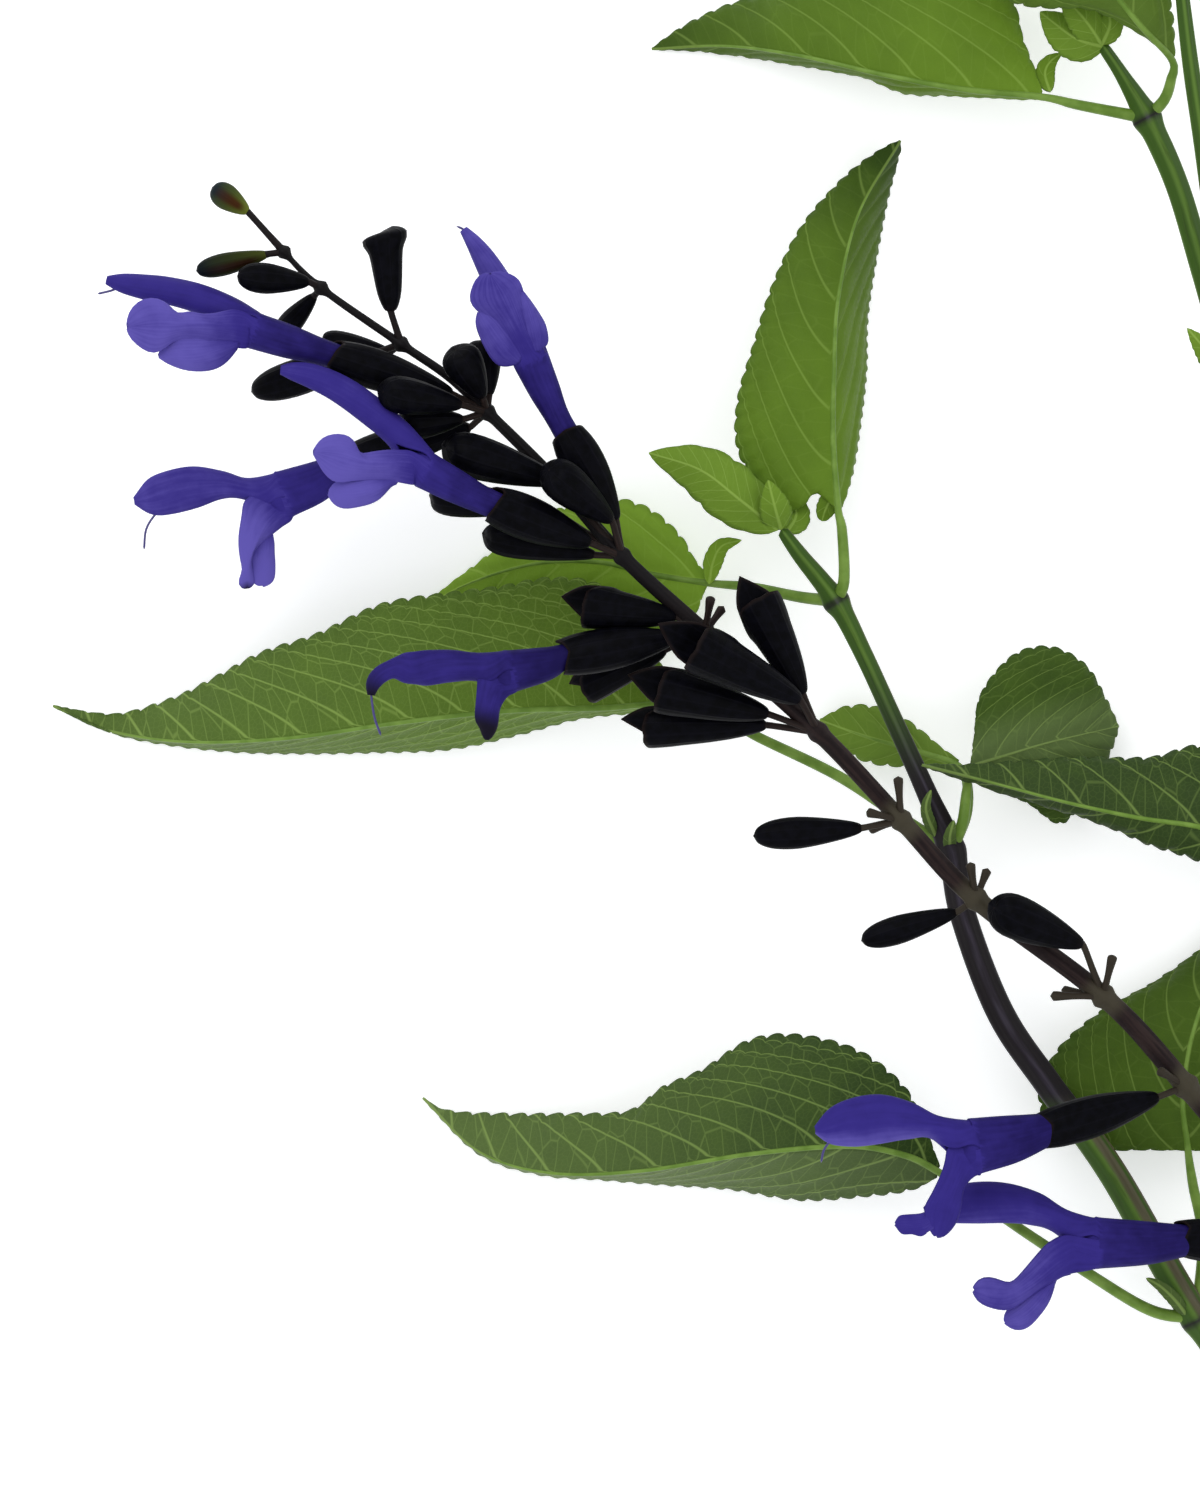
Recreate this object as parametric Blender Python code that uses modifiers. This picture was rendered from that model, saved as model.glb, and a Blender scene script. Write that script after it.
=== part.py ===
"""A cut flowering branch of perennial salvia, lying on a table. Metres, +Z up.

The branch has three shoots from one node: a leafy left shoot, a leafy right shoot and the
black raceme between them, with blue two-lipped flowers in near-black calyces.
Places are read off the photograph's 1200 x 1500 frame as (x, y, height above the table in mm),
x to the right and y down. sheet() turns them into metres. Widths and radii are real millimetres.
"""

import bisect
import math

import bmesh
import bpy
from mathutils import Vector

MM = 0.001
MM_PER_PIXEL = 0.15
EYE_HEIGHT_MM = 937.5
FRAME_CENTRE = (600.0, 750.0)
ORIGIN_AT = (846.5, 766.1)
SEAT_GAP_MM = 0.3
UP = Vector((0.0, 0.0, 1.0))

# Thickness of a leaf and of a flower's lower lip, and the height of a leaf tip that lies on the table
BLADE_MM = 0.8
LIP_MM = 0.9
TIP_MM = 0.25
# Depth of a crenate tooth, rise of a half blade over its width, and radii of the thin stalks
TOOTH_MM = 0.6
ARCH = 0.06
PETIOLE_MM = 0.95
PEDICEL_MM = 0.6
# Whorl swellings on the black axis grow by this much from whorl to whorl
SWELLING_MM = 0.9
SWELLING_STEP_MM = 0.09

# How finely the pieces are drawn
CURVE_SAMPLES = 200
LIP_TEETH = 5
LEAFLET_ROWS = 6
OPEN_SIDES = 8
SHUT_SIDES = 6
COROLLA_SIDES = 8
RACEME_STEPS = 28
STALK_EIGHT_SIDES = 2
STALK_SIX_SIDES = 1
STALK_FOUR_SIDES = 0
MERGE_MM = 0.01
DOUBLE_MM = 0.001
FLAT_ANGLE = math.radians(0.5)
SHARP_ANGLE = math.radians(40)

# A slab whose top is the table: width, depth and thickness in metres
TABLE = (0.6, 0.6, 0.02)

COLOURS = {
    "stem_green": ((0.16, 0.27, 0.07, 1.0), 0.55),
    "raceme_black": ((0.012, 0.011, 0.018, 1.0), 0.5),
    "leaf_green": ((0.13, 0.27, 0.045, 1.0), 0.55),
    "corolla_blue": ((0.075, 0.04, 0.42, 1.0), 0.45),
}

# Stem centre lines: (x, y, height) and radius in mm at each point, from the cut end outwards
MAIN_STEM = (
    ((1462, 1690, 1.7), 2.4),
    ((1435, 1645, 2.2), 2.3),
    ((1405, 1590, 5.0), 2.5),
)
LEFT_SHOOT = (
    ((1405, 1590, 5.5), 2.1),
    ((1300, 1455, 8.0), 2.0),
    ((1197, 1318, 10.0), 2.1),
    ((1112, 1172, 12.0), 2.0),
    ((1048, 1084, 13.0), 1.9),
    ((1000, 1012, 14.0), 1.9),
    ((963, 915, 15.0), 1.8),
    ((951, 850, 15.0), 1.8),
    ((926, 791, 15.5), 1.4),
    ((892, 716, 16.0), 1.25),
    ((864, 655, 17.0), 1.25),
    ((836, 601, 17.0), 1.4),
    ((800, 555, 18.0), 1.1),
    ((781, 529, 19.0), 0.8),
)
RIGHT_SHOOT = (
    ((1405, 1590, 5.5), 2.1),
    ((1428, 1430, 7.0), 2.0),
    ((1424, 1260, 8.5), 2.0),
    ((1408, 1080, 10.0), 1.9),
    ((1385, 905, 12.0), 1.9),
    ((1345, 730, 13.0), 1.8),
    ((1290, 560, 14.0), 1.7),
    ((1240, 400, 15.0), 1.7),
    ((1203, 272, 15.5), 1.6),
    ((1177, 185, 16.0), 1.6),
    ((1147, 118, 16.0), 1.6),
    ((1122, 75, 16.5), 1.0),
    ((1102, 45, 17.0), 0.8),
)
SIDE_SHOOT = (
    ((1240, 400, 15.0), 1.3),
    ((1222, 290, 20.0), 1.2),
    ((1203, 150, 25.0), 1.15),
    ((1190, 60, 27.0), 1.1),
    ((1180, -25, 28.0), 0.9),
)
# Swollen leaf nodes on those stems: place and radius
STEM_NODES = (
    ((1405, 1590, 5.5), 2.9),
    ((1197, 1318, 10.0), 2.4),
    ((951, 850, 15.0), 2.1),
    ((836, 601, 17.0), 1.9),
    ((1385, 905, 12.0), 2.3),
    ((1240, 400, 15.0), 2.1),
    ((1147, 118, 16.0), 2.1),
)

# The raceme's axis, tip first, with its whorls numbered from the tip
RACEME = (
    ((252, 216, 34.0), 0.45),
    ((284, 252, 34.0), 0.5),
    ((321, 288, 34.0), 0.65),
    ((401, 344, 34.0), 0.75),
    ((449, 377, 34.0), 0.8),
    ((487, 412, 34.0), 0.95),
    ((553, 478, 34.0), 1.05),
    ((622, 556, 34.0), 1.2),
    ((705, 632, 34.0), 1.3),
    ((818, 732, 33.0), 1.4),
    ((901, 820, 32.0), 1.4),
    ((976, 899, 30.5), 1.5),
    ((1103, 996, 28.0), 1.5),
    ((1186, 1086, 26.0), 1.6),
    ((1310, 1240, 22.0), 1.6),
    ((1368, 1360, 17.0), 1.6),
    ((1398, 1480, 11.0), 1.7),
    ((1405, 1590, 5.5), 1.8),
)
WHORLS = {
    1: (284, 252, 34.0),
    2: (321, 288, 34.0),
    3: (401, 344, 34.0),
    4: (487, 412, 34.0),
    5: (622, 556, 34.0),
    6: (705, 632, 34.0),
    7: (818, 732, 33.0),
    8: (901, 820, 32.0),
    9: (976, 899, 30.5),
    10: (1103, 996, 28.0),
    11: (1186, 1086, 26.0),
    12: (1310, 1240, 22.0),
}
# Calyces: whorl, mouth, base, widest radius in mm, and whether its mouth is shut or open
CALYCES = (
    (1, (212, 187, 35), (248, 212, 34.3), 1.9, "shut"),
    (1, (196, 269, 35), (268, 255, 34.3), 1.35, "shut"),
    (2, (237, 276, 38), (309, 282, 35), 2.25, "shut"),
    (2, (284, 320, 27), (314, 297, 32.5), 1.6, "shut"),
    (3, (382, 235, 36), (391, 311, 35), 2.4, "shut"),
    (3, (252, 390, 27), (372, 354, 32), 2.6, "shut"),
    (3, (322, 342, 29), (390, 352, 32), 2.0, "shut"),
    (4, (383, 392, 43), (462, 405, 38), 2.7, "open"),
    (4, (400, 424, 36), (464, 419, 35), 2.4, "open"),
    (4, (456, 350, 39), (483, 398, 36), 2.5, "open"),
    (4, (482, 340, 32), (489, 396, 33.5), 2.2, "open"),
    (5, (446, 448, 38), (560, 482, 35.5), 3.2, "open"),
    (5, (430, 498, 25), (545, 506, 31), 2.5, "open"),
    (5, (549, 470, 43), (612, 521, 37), 3.0, "open"),
    (5, (485, 536, 33), (596, 555, 33), 2.5, "open"),
    (6, (577, 605, 34), (676, 617, 34), 2.8, "open"),
    (6, (582, 688, 26), (665, 650, 31), 2.4, "open"),
    (7, (683, 640, 43), (800, 700, 37), 3.3, "open"),
    (7, (753, 592, 36), (803, 694, 35), 3.0, "open"),
    (7, (649, 686, 36), (768, 714, 34), 3.1, "open"),
    (7, (639, 727, 28), (766, 725, 31.5), 2.7, "open"),
    (8, (753, 836, 33), (860, 828, 32), 2.3, "shut"),
    (9, (861, 941, 29), (957, 912, 29.5), 2.1, "shut"),
    (10, (996, 911, 36), (1083, 945, 32), 2.9, "open"),
    (12, (1398, 1178, 30), (1332, 1216, 25), 2.7, "open"),
)
# Pedicels that have lost their flower: whorl and end
BARE_PEDICELS = (
    (6, (711, 596, 38)),
    (6, (724, 606, 33)),
    (8, (898, 776, 35)),
    (8, (866, 812, 35)),
    (8, (869, 830, 28)),
    (9, (970, 862, 33)),
    (9, (988, 868, 29)),
    (10, (1050, 996, 30)),
    (10, (1061, 990, 25)),
    (10, (1113, 955, 33)),
    (11, (1158, 1070, 30)),
    (12, (1332, 1188, 27)),
    (12, (1285, 1275, 18)),
)

# Flowers: the calyx that holds each (whorl, mouth, base, widest radius in mm), then for the tube
# and for the hood each section's place, half height and half width in mm, and for the lower lip
# its middle line and its two edges (left and right of the way from throat to tip) with how far
# each edge drops in mm
FLOWERS = (
    dict(
        calyx=(4, (333, 356, 37), (452, 394, 35), 2.85),
        tube=(((325, 353, 36.8), 1.7, 1.7), ((290, 343, 37.3), 2.7, 2.2), ((255, 331, 37.5), 3.3, 2.6)),
        hood=(
            ((262, 328, 37.0), 2.6, 2.3), ((225, 312, 36.5), 2.6, 2.2), ((185, 298, 36.0), 2.8, 2.0),
            ((150, 288, 36.0), 2.1, 1.6), ((122, 281, 36.0), 1.2, 1.0), ((107, 279, 36.0), 0.4, 0.4),
        ),
        lip=((262, 337, 39.0), (215, 334, 43.0), (175, 330, 44.5), (128, 327, 44.5)),
        left=((258, 350), (232, 352), (222, 366), (190, 370), (158, 357), (136, 343)),
        right=((258, 322), (215, 312), (175, 303), (149, 298), (130, 313)),
        drop=(-2.0, -1.5),
    ),
    dict(
        calyx=(5, (492, 504, 41), (590, 543, 37), 3.1),
        tube=(((485, 501, 41.0), 1.8, 1.8), ((455, 486, 41.5), 2.7, 2.2), ((422, 469, 42.0), 3.3, 2.6)),
        hood=(
            ((425, 462, 41.5), 2.6, 2.3), ((392, 432, 41.0), 2.4, 2.1), ((357, 402, 40.0), 2.5, 2.0),
            ((324, 381, 40.0), 2.3, 1.7), ((298, 371, 40.0), 1.6, 1.2), ((283, 368, 40.0), 0.5, 0.4),
        ),
        lip=((425, 470, 43.5), (385, 466, 47.5), (350, 465, 49.5), (320, 470, 49.5)),
        left=((424, 488), (392, 487), (374, 499), (347, 508), (331, 498), (328, 482)),
        right=((420, 450), (395, 448), (365, 452), (352, 440), (336, 434), (318, 442), (312, 458)),
        drop=(-2.0, -1.5),
    ),
    dict(
        calyx=(4, (362, 456, 26), (470, 427, 31), 2.7),
        tube=(((347, 462, 25.5), 1.7, 1.7), ((318, 481, 25.0), 2.6, 2.2), ((285, 495, 25.0), 3.7, 2.7)),
        hood=(
            ((285, 488, 25.0), 2.6, 2.3), ((245, 488, 24.5), 1.8, 2.0), ((203, 487, 24.0), 2.8, 2.2),
            ((168, 494, 24.0), 2.8, 1.9), ((147, 501, 24.0), 1.8, 1.2), ((136, 505, 24.0), 0.5, 0.4),
        ),
        lip=((285, 505, 26.0), (262, 535, 26.0), (256, 562, 25.5), (254, 594, 24.0)),
        left=((305, 512), (278, 532), (275, 558), (273, 580)),
        right=((262, 503), (240, 518), (237, 545), (242, 570), (238, 587)),
        drop=(3.0, -3.0),
    ),
    dict(
        calyx=(5, (566, 432, 36), (616, 520, 35), 3.0),
        tube=(((558, 418, 36.3), 1.5, 1.6), ((543, 389, 36.8), 2.2, 2.2), ((529, 350, 37.8), 2.6, 3.0)),
        hood=(
            ((537, 366, 37.2), 2.2, 2.2), ((512, 312, 36.5), 2.6, 2.4), ((495, 280, 36.5), 2.3, 2.1),
            ((480, 256, 36.5), 1.7, 1.6), ((469, 239, 37.0), 1.0, 0.9), ((462, 228, 37.0), 0.4, 0.4),
        ),
        lip=((533, 358, 39.5), (515, 330, 43.0), (500, 305, 44.5), (490, 286, 45.0)),
        left=((517, 366), (500, 364), (488, 352), (478, 330), (477, 309), (470, 300), (474, 289)),
        right=((546, 357), (549, 340), (544, 323), (534, 307), (521, 289), (505, 284)),
        drop=(-1.5, -1.5),
    ),
    dict(
        calyx=(6, (564, 657, 35), (676, 637, 35), 3.0),
        tube=(((568, 655, 35.0), 1.8, 1.8), ((543, 664, 35.0), 2.6, 2.2), ((510, 675, 35.5), 3.3, 2.5)),
        hood=(
            ((508, 668, 35.5), 2.4, 2.2), ((472, 668, 35.5), 2.2, 1.9), ((440, 667, 35.5), 2.3, 1.8),
            ((412, 668, 35.0), 2.3, 1.6), ((390, 673, 35.0), 1.3, 1.0), ((373, 681, 35.0), 0.5, 0.5),
        ),
        lip=((492, 680, 36.5), (488, 700, 37.0), (488, 720, 36.5), (488, 737, 36.0)),
        left=((510, 690), (500, 708), (497, 724)),
        right=((476, 682), (476, 702), (480, 722)),
        drop=(1.5, -1.5),
    ),
    dict(
        calyx=(11, (1043, 1131, 31), (1158, 1097, 27.5), 3.0),
        tube=(((1045, 1130, 31.0), 2.3, 2.0), ((1012, 1139, 32.0), 3.4, 2.7), ((970, 1146, 33), 4.0, 3.0)),
        hood=(
            ((968, 1136, 33.0), 3.0, 2.6), ((927, 1126, 34.0), 2.3, 2.2), ((886, 1119, 34.5), 3.7, 2.4),
            ((853, 1123, 34.5), 3.5, 2.0), ((832, 1128, 35.0), 2.2, 1.3), ((819, 1129, 35.0), 0.6, 0.5),
        ),
        lip=((968, 1150, 34.5), (955, 1180, 36.0), (940, 1210, 36.0), (928, 1235, 35.0)),
        left=((988, 1168), (972, 1184), (962, 1205), (957, 1224), (944, 1237)),
        right=(
            (945, 1145), (948, 1165), (938, 1190), (922, 1213), (902, 1215), (895, 1225),
            (906, 1235),
        ),
        drop=(-3.0, 0.5),
    ),
    dict(
        calyx=(12, (1180, 1238, 26), (1290, 1248, 23.5), 3.0),
        tube=(((1180, 1241, 26), 2.3, 2.1), ((1145, 1243, 26), 3.1, 2.6), ((1095, 1244, 26), 3.9, 3.0)),
        hood=(
            ((1092, 1235, 26.0), 3.0, 2.6), ((1055, 1220, 25.5), 2.3, 2.2), ((1010, 1203, 25.0), 2.9, 2.3),
            ((970, 1203, 24.0), 2.9, 2.0), ((940, 1207, 23.0), 2.0, 1.3), ((922, 1212, 23.0), 0.6, 0.5),
        ),
        lip=((1082, 1245, 27.5), (1052, 1265, 29.5), (1025, 1292, 30.0), (1000, 1316, 29.0)),
        left=((1090, 1268), (1064, 1272), (1056, 1290), (1046, 1312), (1030, 1328), (1012, 1330)),
        right=((1062, 1235), (1043, 1249), (1017, 1280), (992, 1277), (975, 1284), (976, 1298)),
        drop=(0.5, -3.0),
    ),
)

# Leaves: petiole and midrib from base to tip, the two edges (left and right of that way) as they
# show from above, how far each edge drops from the midrib in mm, teeth a side, and the small
# lobe that curls at the foot of some blades
LEAVES = {
    "leaf_upright": dict(
        petiole=((836, 601, 17), (844, 580, 19), (842, 530, 19)),
        rib=((838, 508, 18), (833, 440, 17), (834, 370, 16), (838, 300, 14), (858, 215, 10), (900, 141, 5)),
        left=(
            (836, 508), (812, 492), (790, 512), (762, 492), (737, 450), (737, 400), (752, 348),
            (772, 285), (802, 225), (846, 175), (882, 149), (900, 141),
        ),
        right=(
            (840, 510), (852, 474), (860, 425), (866, 370), (868, 310), (884, 215), (897, 160), (900, 141),
        ),
        drop=(-2.0, -12.0), teeth=15,
        auricle=((840, 512, 18), (829, 503, 17), (823, 518, 16)), auricle_mm=0.9,
    ),
    "leaf_left_back": dict(
        petiole=((836, 601, 17), (800, 597, 14), (750, 587, 10)),
        rib=(
            (708, 583, 8), (650, 574, 7), (597, 562, 6), (530, 565, 4), (460, 588, 1.6),
            (405, 622, TIP_MM),
        ),
        left=((706, 588), (690, 620), (640, 642), (570, 645), (500, 640), (440, 633), (405, 622)),
        right=(
            (709, 578), (694, 558), (680, 534), (650, 508), (612, 498), (560, 508), (522, 530),
            (486, 557), (444, 590), (405, 622),
        ),
        drop=(-3.0, -2.0), teeth=12,
        auricle=((709, 584, 8.5), (713, 562, 9.5), (722, 546, 10), (742, 540, 10)), auricle_mm=1.5,
    ),
    "leaf_left_front": dict(
        petiole=((951, 850, 15), (905, 820, 13), (840, 777, 14), (760, 738, 15)),
        rib=(
            (692, 705, 15), (600, 708, 16), (504, 711, 17), (397, 723, 17), (290, 738, 14),
            (190, 742, 7), (112, 731, TIP_MM), (53, 706, TIP_MM),
        ),
        left=(
            (692, 710), (629, 713), (576, 719), (520, 734), (450, 749), (375, 752), (300, 753),
            (230, 751), (160, 743), (107, 731), (53, 706),
        ),
        right=(
            (690, 702), (664, 668), (640, 622), (600, 584), (550, 577), (497, 586), (440, 593),
            (379, 604), (317, 633), (263, 651), (218, 675), (174, 697), (116, 713), (53, 706),
        ),
        drop=(-14.0, -3.0), teeth=20,
    ),
    "leaf_right_round": dict(
        petiole=((951, 850, 15), (962, 825, 16), (967, 790, 15)),
        rib=((971, 766, 14), (1000, 757, 13), (1050, 742, 10), (1118, 726, 5)),
        left=(
            (971, 762), (974, 738), (980, 694), (1012, 655), (1050, 646), (1085, 664), (1105, 697),
            (1118, 726),
        ),
        right=(
            (973, 770), (997, 788), (1030, 805), (1060, 824), (1084, 800), (1104, 766), (1114, 742),
            (1118, 726),
        ),
        drop=(-2.0, -5.0), teeth=10,
    ),
    "leaf_right_small": dict(
        petiole=((951, 850, 15), (966, 815, 12), (967, 783, 11)),
        rib=((957, 765, 10), (920, 752, 8), (870, 738, 5), (820, 720, 2)),
        left=((954, 768), (928, 768), (898, 767), (865, 762), (838, 745), (820, 720)),
        right=((959, 760), (940, 746), (908, 720), (876, 706), (846, 706), (820, 720)),
        drop=(-1.0, -1.0), teeth=8,
    ),
    "leaf_low_left": dict(
        petiole=((1197, 1318, 10), (1150, 1310, 11), (1083, 1270, 14), (1010, 1222, 17)),
        rib=(
            (937, 1171, 18), (900, 1154, 18), (846, 1146, 18), (750, 1154, 17), (640, 1171, 15),
            (550, 1173, 11), (480, 1152, 4), (423, 1098, TIP_MM),
        ),
        left=(
            (936, 1178), (912, 1190), (870, 1196), (800, 1200), (730, 1189), (660, 1184),
            (600, 1179), (540, 1174), (480, 1154), (423, 1098),
        ),
        right=(
            (940, 1166), (926, 1128), (905, 1086), (860, 1050), (800, 1034), (750, 1039), (704, 1068),
            (664, 1086), (630, 1110), (570, 1113), (500, 1113), (445, 1110), (423, 1098),
        ),
        drop=(-13.0, -3.0), teeth=18,
    ),
    "leaf_low_right": dict(
        petiole=((1197, 1318, 10), (1203, 1240, 9), (1193, 1185, 9)),
        rib=((1188, 1150, 9), (1183, 1090, 9), (1200, 1010, 9), (1245, 930, 4), (1300, 860, TIP_MM)),
        left=(
            (1184, 1150), (1150, 1150), (1100, 1149), (1052, 1132), (1038, 1095), (1056, 1051),
            (1100, 1012), (1150, 985), (1200, 950), (1250, 905), (1300, 860),
        ),
        right=((1192, 1150), (1230, 1148), (1262, 1105), (1282, 1035), (1292, 950), (1300, 860)),
        drop=(-1.5, -3.0), teeth=13,
    ),
    "leaf_top_left": dict(
        petiole=((1147, 118, 16), (1115, 112, 16), (1074, 104, 16)),
        rib=((1042, 97, 16), (961, 89, 16), (880, 74, 15), (801, 56, 12), (725, 46, 4), (652, 49, TIP_MM)),
        left=(
            (1041, 99), (1000, 96), (955, 95), (905, 93), (862, 76), (800, 65), (745, 56),
            (695, 50), (652, 49),
        ),
        right=(
            (1042, 92), (1032, 62), (1023, 38), (1010, -5), (965, -42), (900, -55), (825, -38),
            (765, -8), (722, 7), (682, 27), (652, 49),
        ),
        drop=(-9.0, -5.0), teeth=16,
        auricle=((1043, 92, 15.5), (1037, 70, 14.5), (1043, 60, 14), (1058, 54, 14)), auricle_mm=0.9,
    ),
    "leaf_top_right": dict(
        petiole=((1147, 118, 16), (1164, 100, 17), (1171, 80, 18.5)),
        rib=((1172, 60, 20), (1140, 25, 25), (1095, -30, 26), (1045, -95, 23), (1003, -178, 15)),
        left=(
            (1169, 56), (1150, 38), (1122, 22), (1085, 8), (1045, 8), (1008, 0), (988, -40),
            (980, -100), (1003, -178),
        ),
        right=((1174, 55), (1172, 10), (1158, -40), (1125, -95), (1070, -140), (1003, -178)),
        drop=(-3.0, -3.0), teeth=12,
    ),
    "leaf_right_front": dict(
        petiole=((1385, 905, 12), (1370, 890, 16), (1345, 880, 19)),
        rib=(
            (1322, 872, 20), (1260, 845, 21), (1200, 827, 21), (1140, 818, 20), (1069, 803, 20),
            (997, 784, 19), (922, 765, 18),
        ),
        left=(
            (1320, 876), (1290, 902), (1240, 888), (1200, 862), (1150, 845), (1100, 823),
            (1050, 806), (985, 786), (922, 765),
        ),
        right=(
            (1320, 868), (1300, 810), (1250, 762), (1200, 745), (1150, 757), (1080, 757),
            (1020, 761), (968, 765), (922, 765),
        ),
        drop=(-4.0, -4.0), teeth=18,
    ),
    "leaf_right_back": dict(
        petiole=((1385, 905, 12), (1412, 892, 13), (1440, 888, 13)),
        rib=((1465, 892, 13), (1520, 912, 12), (1580, 955, 4), (1625, 1015, TIP_MM)),
        left=((1466, 888), (1500, 835), (1565, 840), (1612, 900), (1630, 960), (1625, 1015)),
        right=((1463, 897), (1450, 950), (1490, 1000), (1545, 1022), (1590, 1025), (1625, 1015)),
        drop=(-3.0, -3.0), teeth=9,
    ),
    "leaf_side_right": dict(
        petiole=((1240, 400, 15), (1270, 382, 16), (1300, 366, 16)),
        rib=((1325, 352, 16), (1385, 322, 15), (1450, 300, 5), (1520, 290, TIP_MM)),
        left=((1323, 348), (1330, 285), (1385, 240), (1440, 240), (1485, 262), (1520, 290)),
        right=((1328, 356), (1375, 405), (1435, 392), (1480, 350), (1505, 320), (1520, 290)),
        drop=(-3.0, -3.0), teeth=9,
    ),
    "leaf_base": dict(
        petiole=((1405, 1590, 5.5), (1445, 1565, 7), (1480, 1535, 8)),
        rib=((1500, 1515, 8), (1545, 1462, 8), (1585, 1395, 3), (1610, 1320, TIP_MM)),
        left=((1496, 1513), (1455, 1470), (1475, 1405), (1525, 1360), (1575, 1330), (1610, 1320)),
        right=((1504, 1518), (1570, 1535), (1625, 1485), (1640, 1420), (1630, 1365), (1610, 1320)),
        drop=(-3.0, -3.0), teeth=9,
    ),
}
# Small leaves that are one with their stem: midrib, half width in mm, tilt in degrees
YOUNG_LEAVES = (
    (((778, 530, 19.0), (740, 500, 21.0), (700, 470, 20.0), (649, 453, 17.0)), 4.4, -15),
    (((781, 529, 19.0), (775, 508, 22.0), (768, 480, 23.0)), 2.4, -25),
    (((786, 533, 18.5), (796, 515, 16.0), (790, 492, 14.0)), 2.2, -20),
    (((1104, 47, 17.0), (1075, 38, 18.0), (1040, 12, 17.0)), 3.2, -20),
    (((1102, 45, 17.0), (1085, 20, 19.5), (1060, -8, 19.5)), 2.6, -20),
    (((1102, 45, 17.0), (1110, 22, 18.5), (1102, -4, 18.0)), 2.0, -20),
    (((1240, 400, 15.0), (1222, 370, 20.0), (1187, 328, 24.0)), 2.4, -20),
    (((1180, -25, 28.0), (1150, -60, 29.0), (1105, -98, 27.0)), 3.6, -20),
    (((1180, -25, 28.0), (1196, -70, 29.0), (1222, -118, 27.0)), 3.6, -20),
    (((936, 836, 15.5), (926, 815, 18.0), (929, 789, 19.0)), 1.3, -15),
    (((948, 850, 15.5), (948, 832, 18.5), (955, 812, 19.5)), 1.4, -15),
    (((1192, 1312, 11.0), (1170, 1292, 15.5), (1146, 1270, 17.0)), 1.8, -20),
)


def sheet(place):
    """A place on the photograph's sheet, with its height, in the part's own metres."""
    x, y, height = place
    nearer = 1.0 - height / EYE_HEIGHT_MM
    across = (x - FRAME_CENTRE[0]) * nearer - (ORIGIN_AT[0] - FRAME_CENTRE[0])
    down = (y - FRAME_CENTRE[1]) * nearer - (ORIGIN_AT[1] - FRAME_CENTRE[1])
    return Vector((across * MM_PER_PIXEL, -down * MM_PER_PIXEL, height)) * MM


def smooth_curve(points):
    """The Catmull-Rom curve through the points, as a function of the share (0 to 1) of its length."""
    last = len(points) - 1

    def raw(place):
        i = min(int(place), last - 1)
        t = place - i
        a, b = points[i], points[i + 1]
        before = points[i - 1] if i > 0 else a * 2 - b
        after = points[i + 2] if i + 2 <= last else b * 2 - a
        bend = (b - before) * t + (before * 2 - a * 5 + b * 4 - after) * t**2
        return a + 0.5 * (bend + (a * 3 - before - b * 3 + after) * t**3)

    samples = [raw(last * i / CURVE_SAMPLES) for i in range(CURVE_SAMPLES + 1)]
    lengths = [0.0]
    for a, b in zip(samples, samples[1:]):
        lengths.append(lengths[-1] + (b - a).length)

    def at(share):
        wanted = min(max(share, 0.0), 1.0) * lengths[-1]
        i = min(max(bisect.bisect_left(lengths, wanted), 1), CURVE_SAMPLES)
        span = lengths[i] - lengths[i - 1]
        return samples[i - 1].lerp(samples[i], (wanted - lengths[i - 1]) / span if span else 0.0)

    return at


def heading(curve, share):
    """The curve's direction there."""
    step = 0.02
    return (curve(min(share + step, 1.0)) - curve(max(share - step, 0.0))).normalized()


def collection_named(name):
    found = bpy.data.collections.get(name)
    if found is None:
        found = bpy.data.collections.new(name)
        bpy.context.scene.collection.children.link(found)
    return found


def material_named(name):
    found = bpy.data.materials.get(name)
    if found is None:
        colour, roughness = COLOURS[name]
        found = bpy.data.materials.new(name)
        found.use_nodes = True
        shader = found.node_tree.nodes["Principled BSDF"]
        shader.inputs["Base Color"].default_value = colour
        shader.inputs["Roughness"].default_value = roughness
        shader.inputs["Metallic"].default_value = 0.0
        found.diffuse_color = colour
    return found


def object_from(name, mesh):
    made = bpy.data.objects.new(name, mesh)
    collection_named("pieces").objects.link(made)
    return made


def evaluated_copy(obj, name, flatten=False):
    """A plain mesh object with the modifiers applied and the doubles merged; the first object goes."""
    bpy.context.view_layer.update()
    graph = bpy.context.evaluated_depsgraph_get()
    mesh = bpy.data.meshes.new_from_object(obj.evaluated_get(graph))
    mesh.transform(obj.matrix_world)
    shape = bmesh.new()
    shape.from_mesh(mesh)
    bmesh.ops.remove_doubles(shape, verts=shape.verts, dist=DOUBLE_MM * MM)
    if flatten:
        bmesh.ops.dissolve_limit(shape, angle_limit=FLAT_ANGLE, verts=shape.verts, edges=shape.edges)
    bmesh.ops.triangulate(shape, faces=shape.faces)
    shape.to_mesh(mesh)
    shape.free()
    bpy.data.objects.remove(obj)
    return object_from(name, mesh)


def tube(points, radii, steps, bevel_resolution):
    """A round stem through the points, its radius in metres given at each of them."""
    curve = bpy.data.curves.new("stem_line", "CURVE")
    curve.dimensions = "3D"
    curve.bevel_depth = 1.0
    curve.bevel_resolution = bevel_resolution
    curve.use_fill_caps = True
    line = curve.splines.new("POLY")
    line.points.add(steps)
    path = smooth_curve([Vector((*point, radius)) for point, radius in zip(points, radii)])
    for i, point in enumerate(line.points):
        x, y, z, radius = path(i / steps)
        point.co = (x, y, z, 1.0)
        point.radius = radius
    made = bpy.data.objects.new("stem_line", curve)
    collection_named("pieces").objects.link(made)
    return evaluated_copy(made, "tube")


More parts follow.
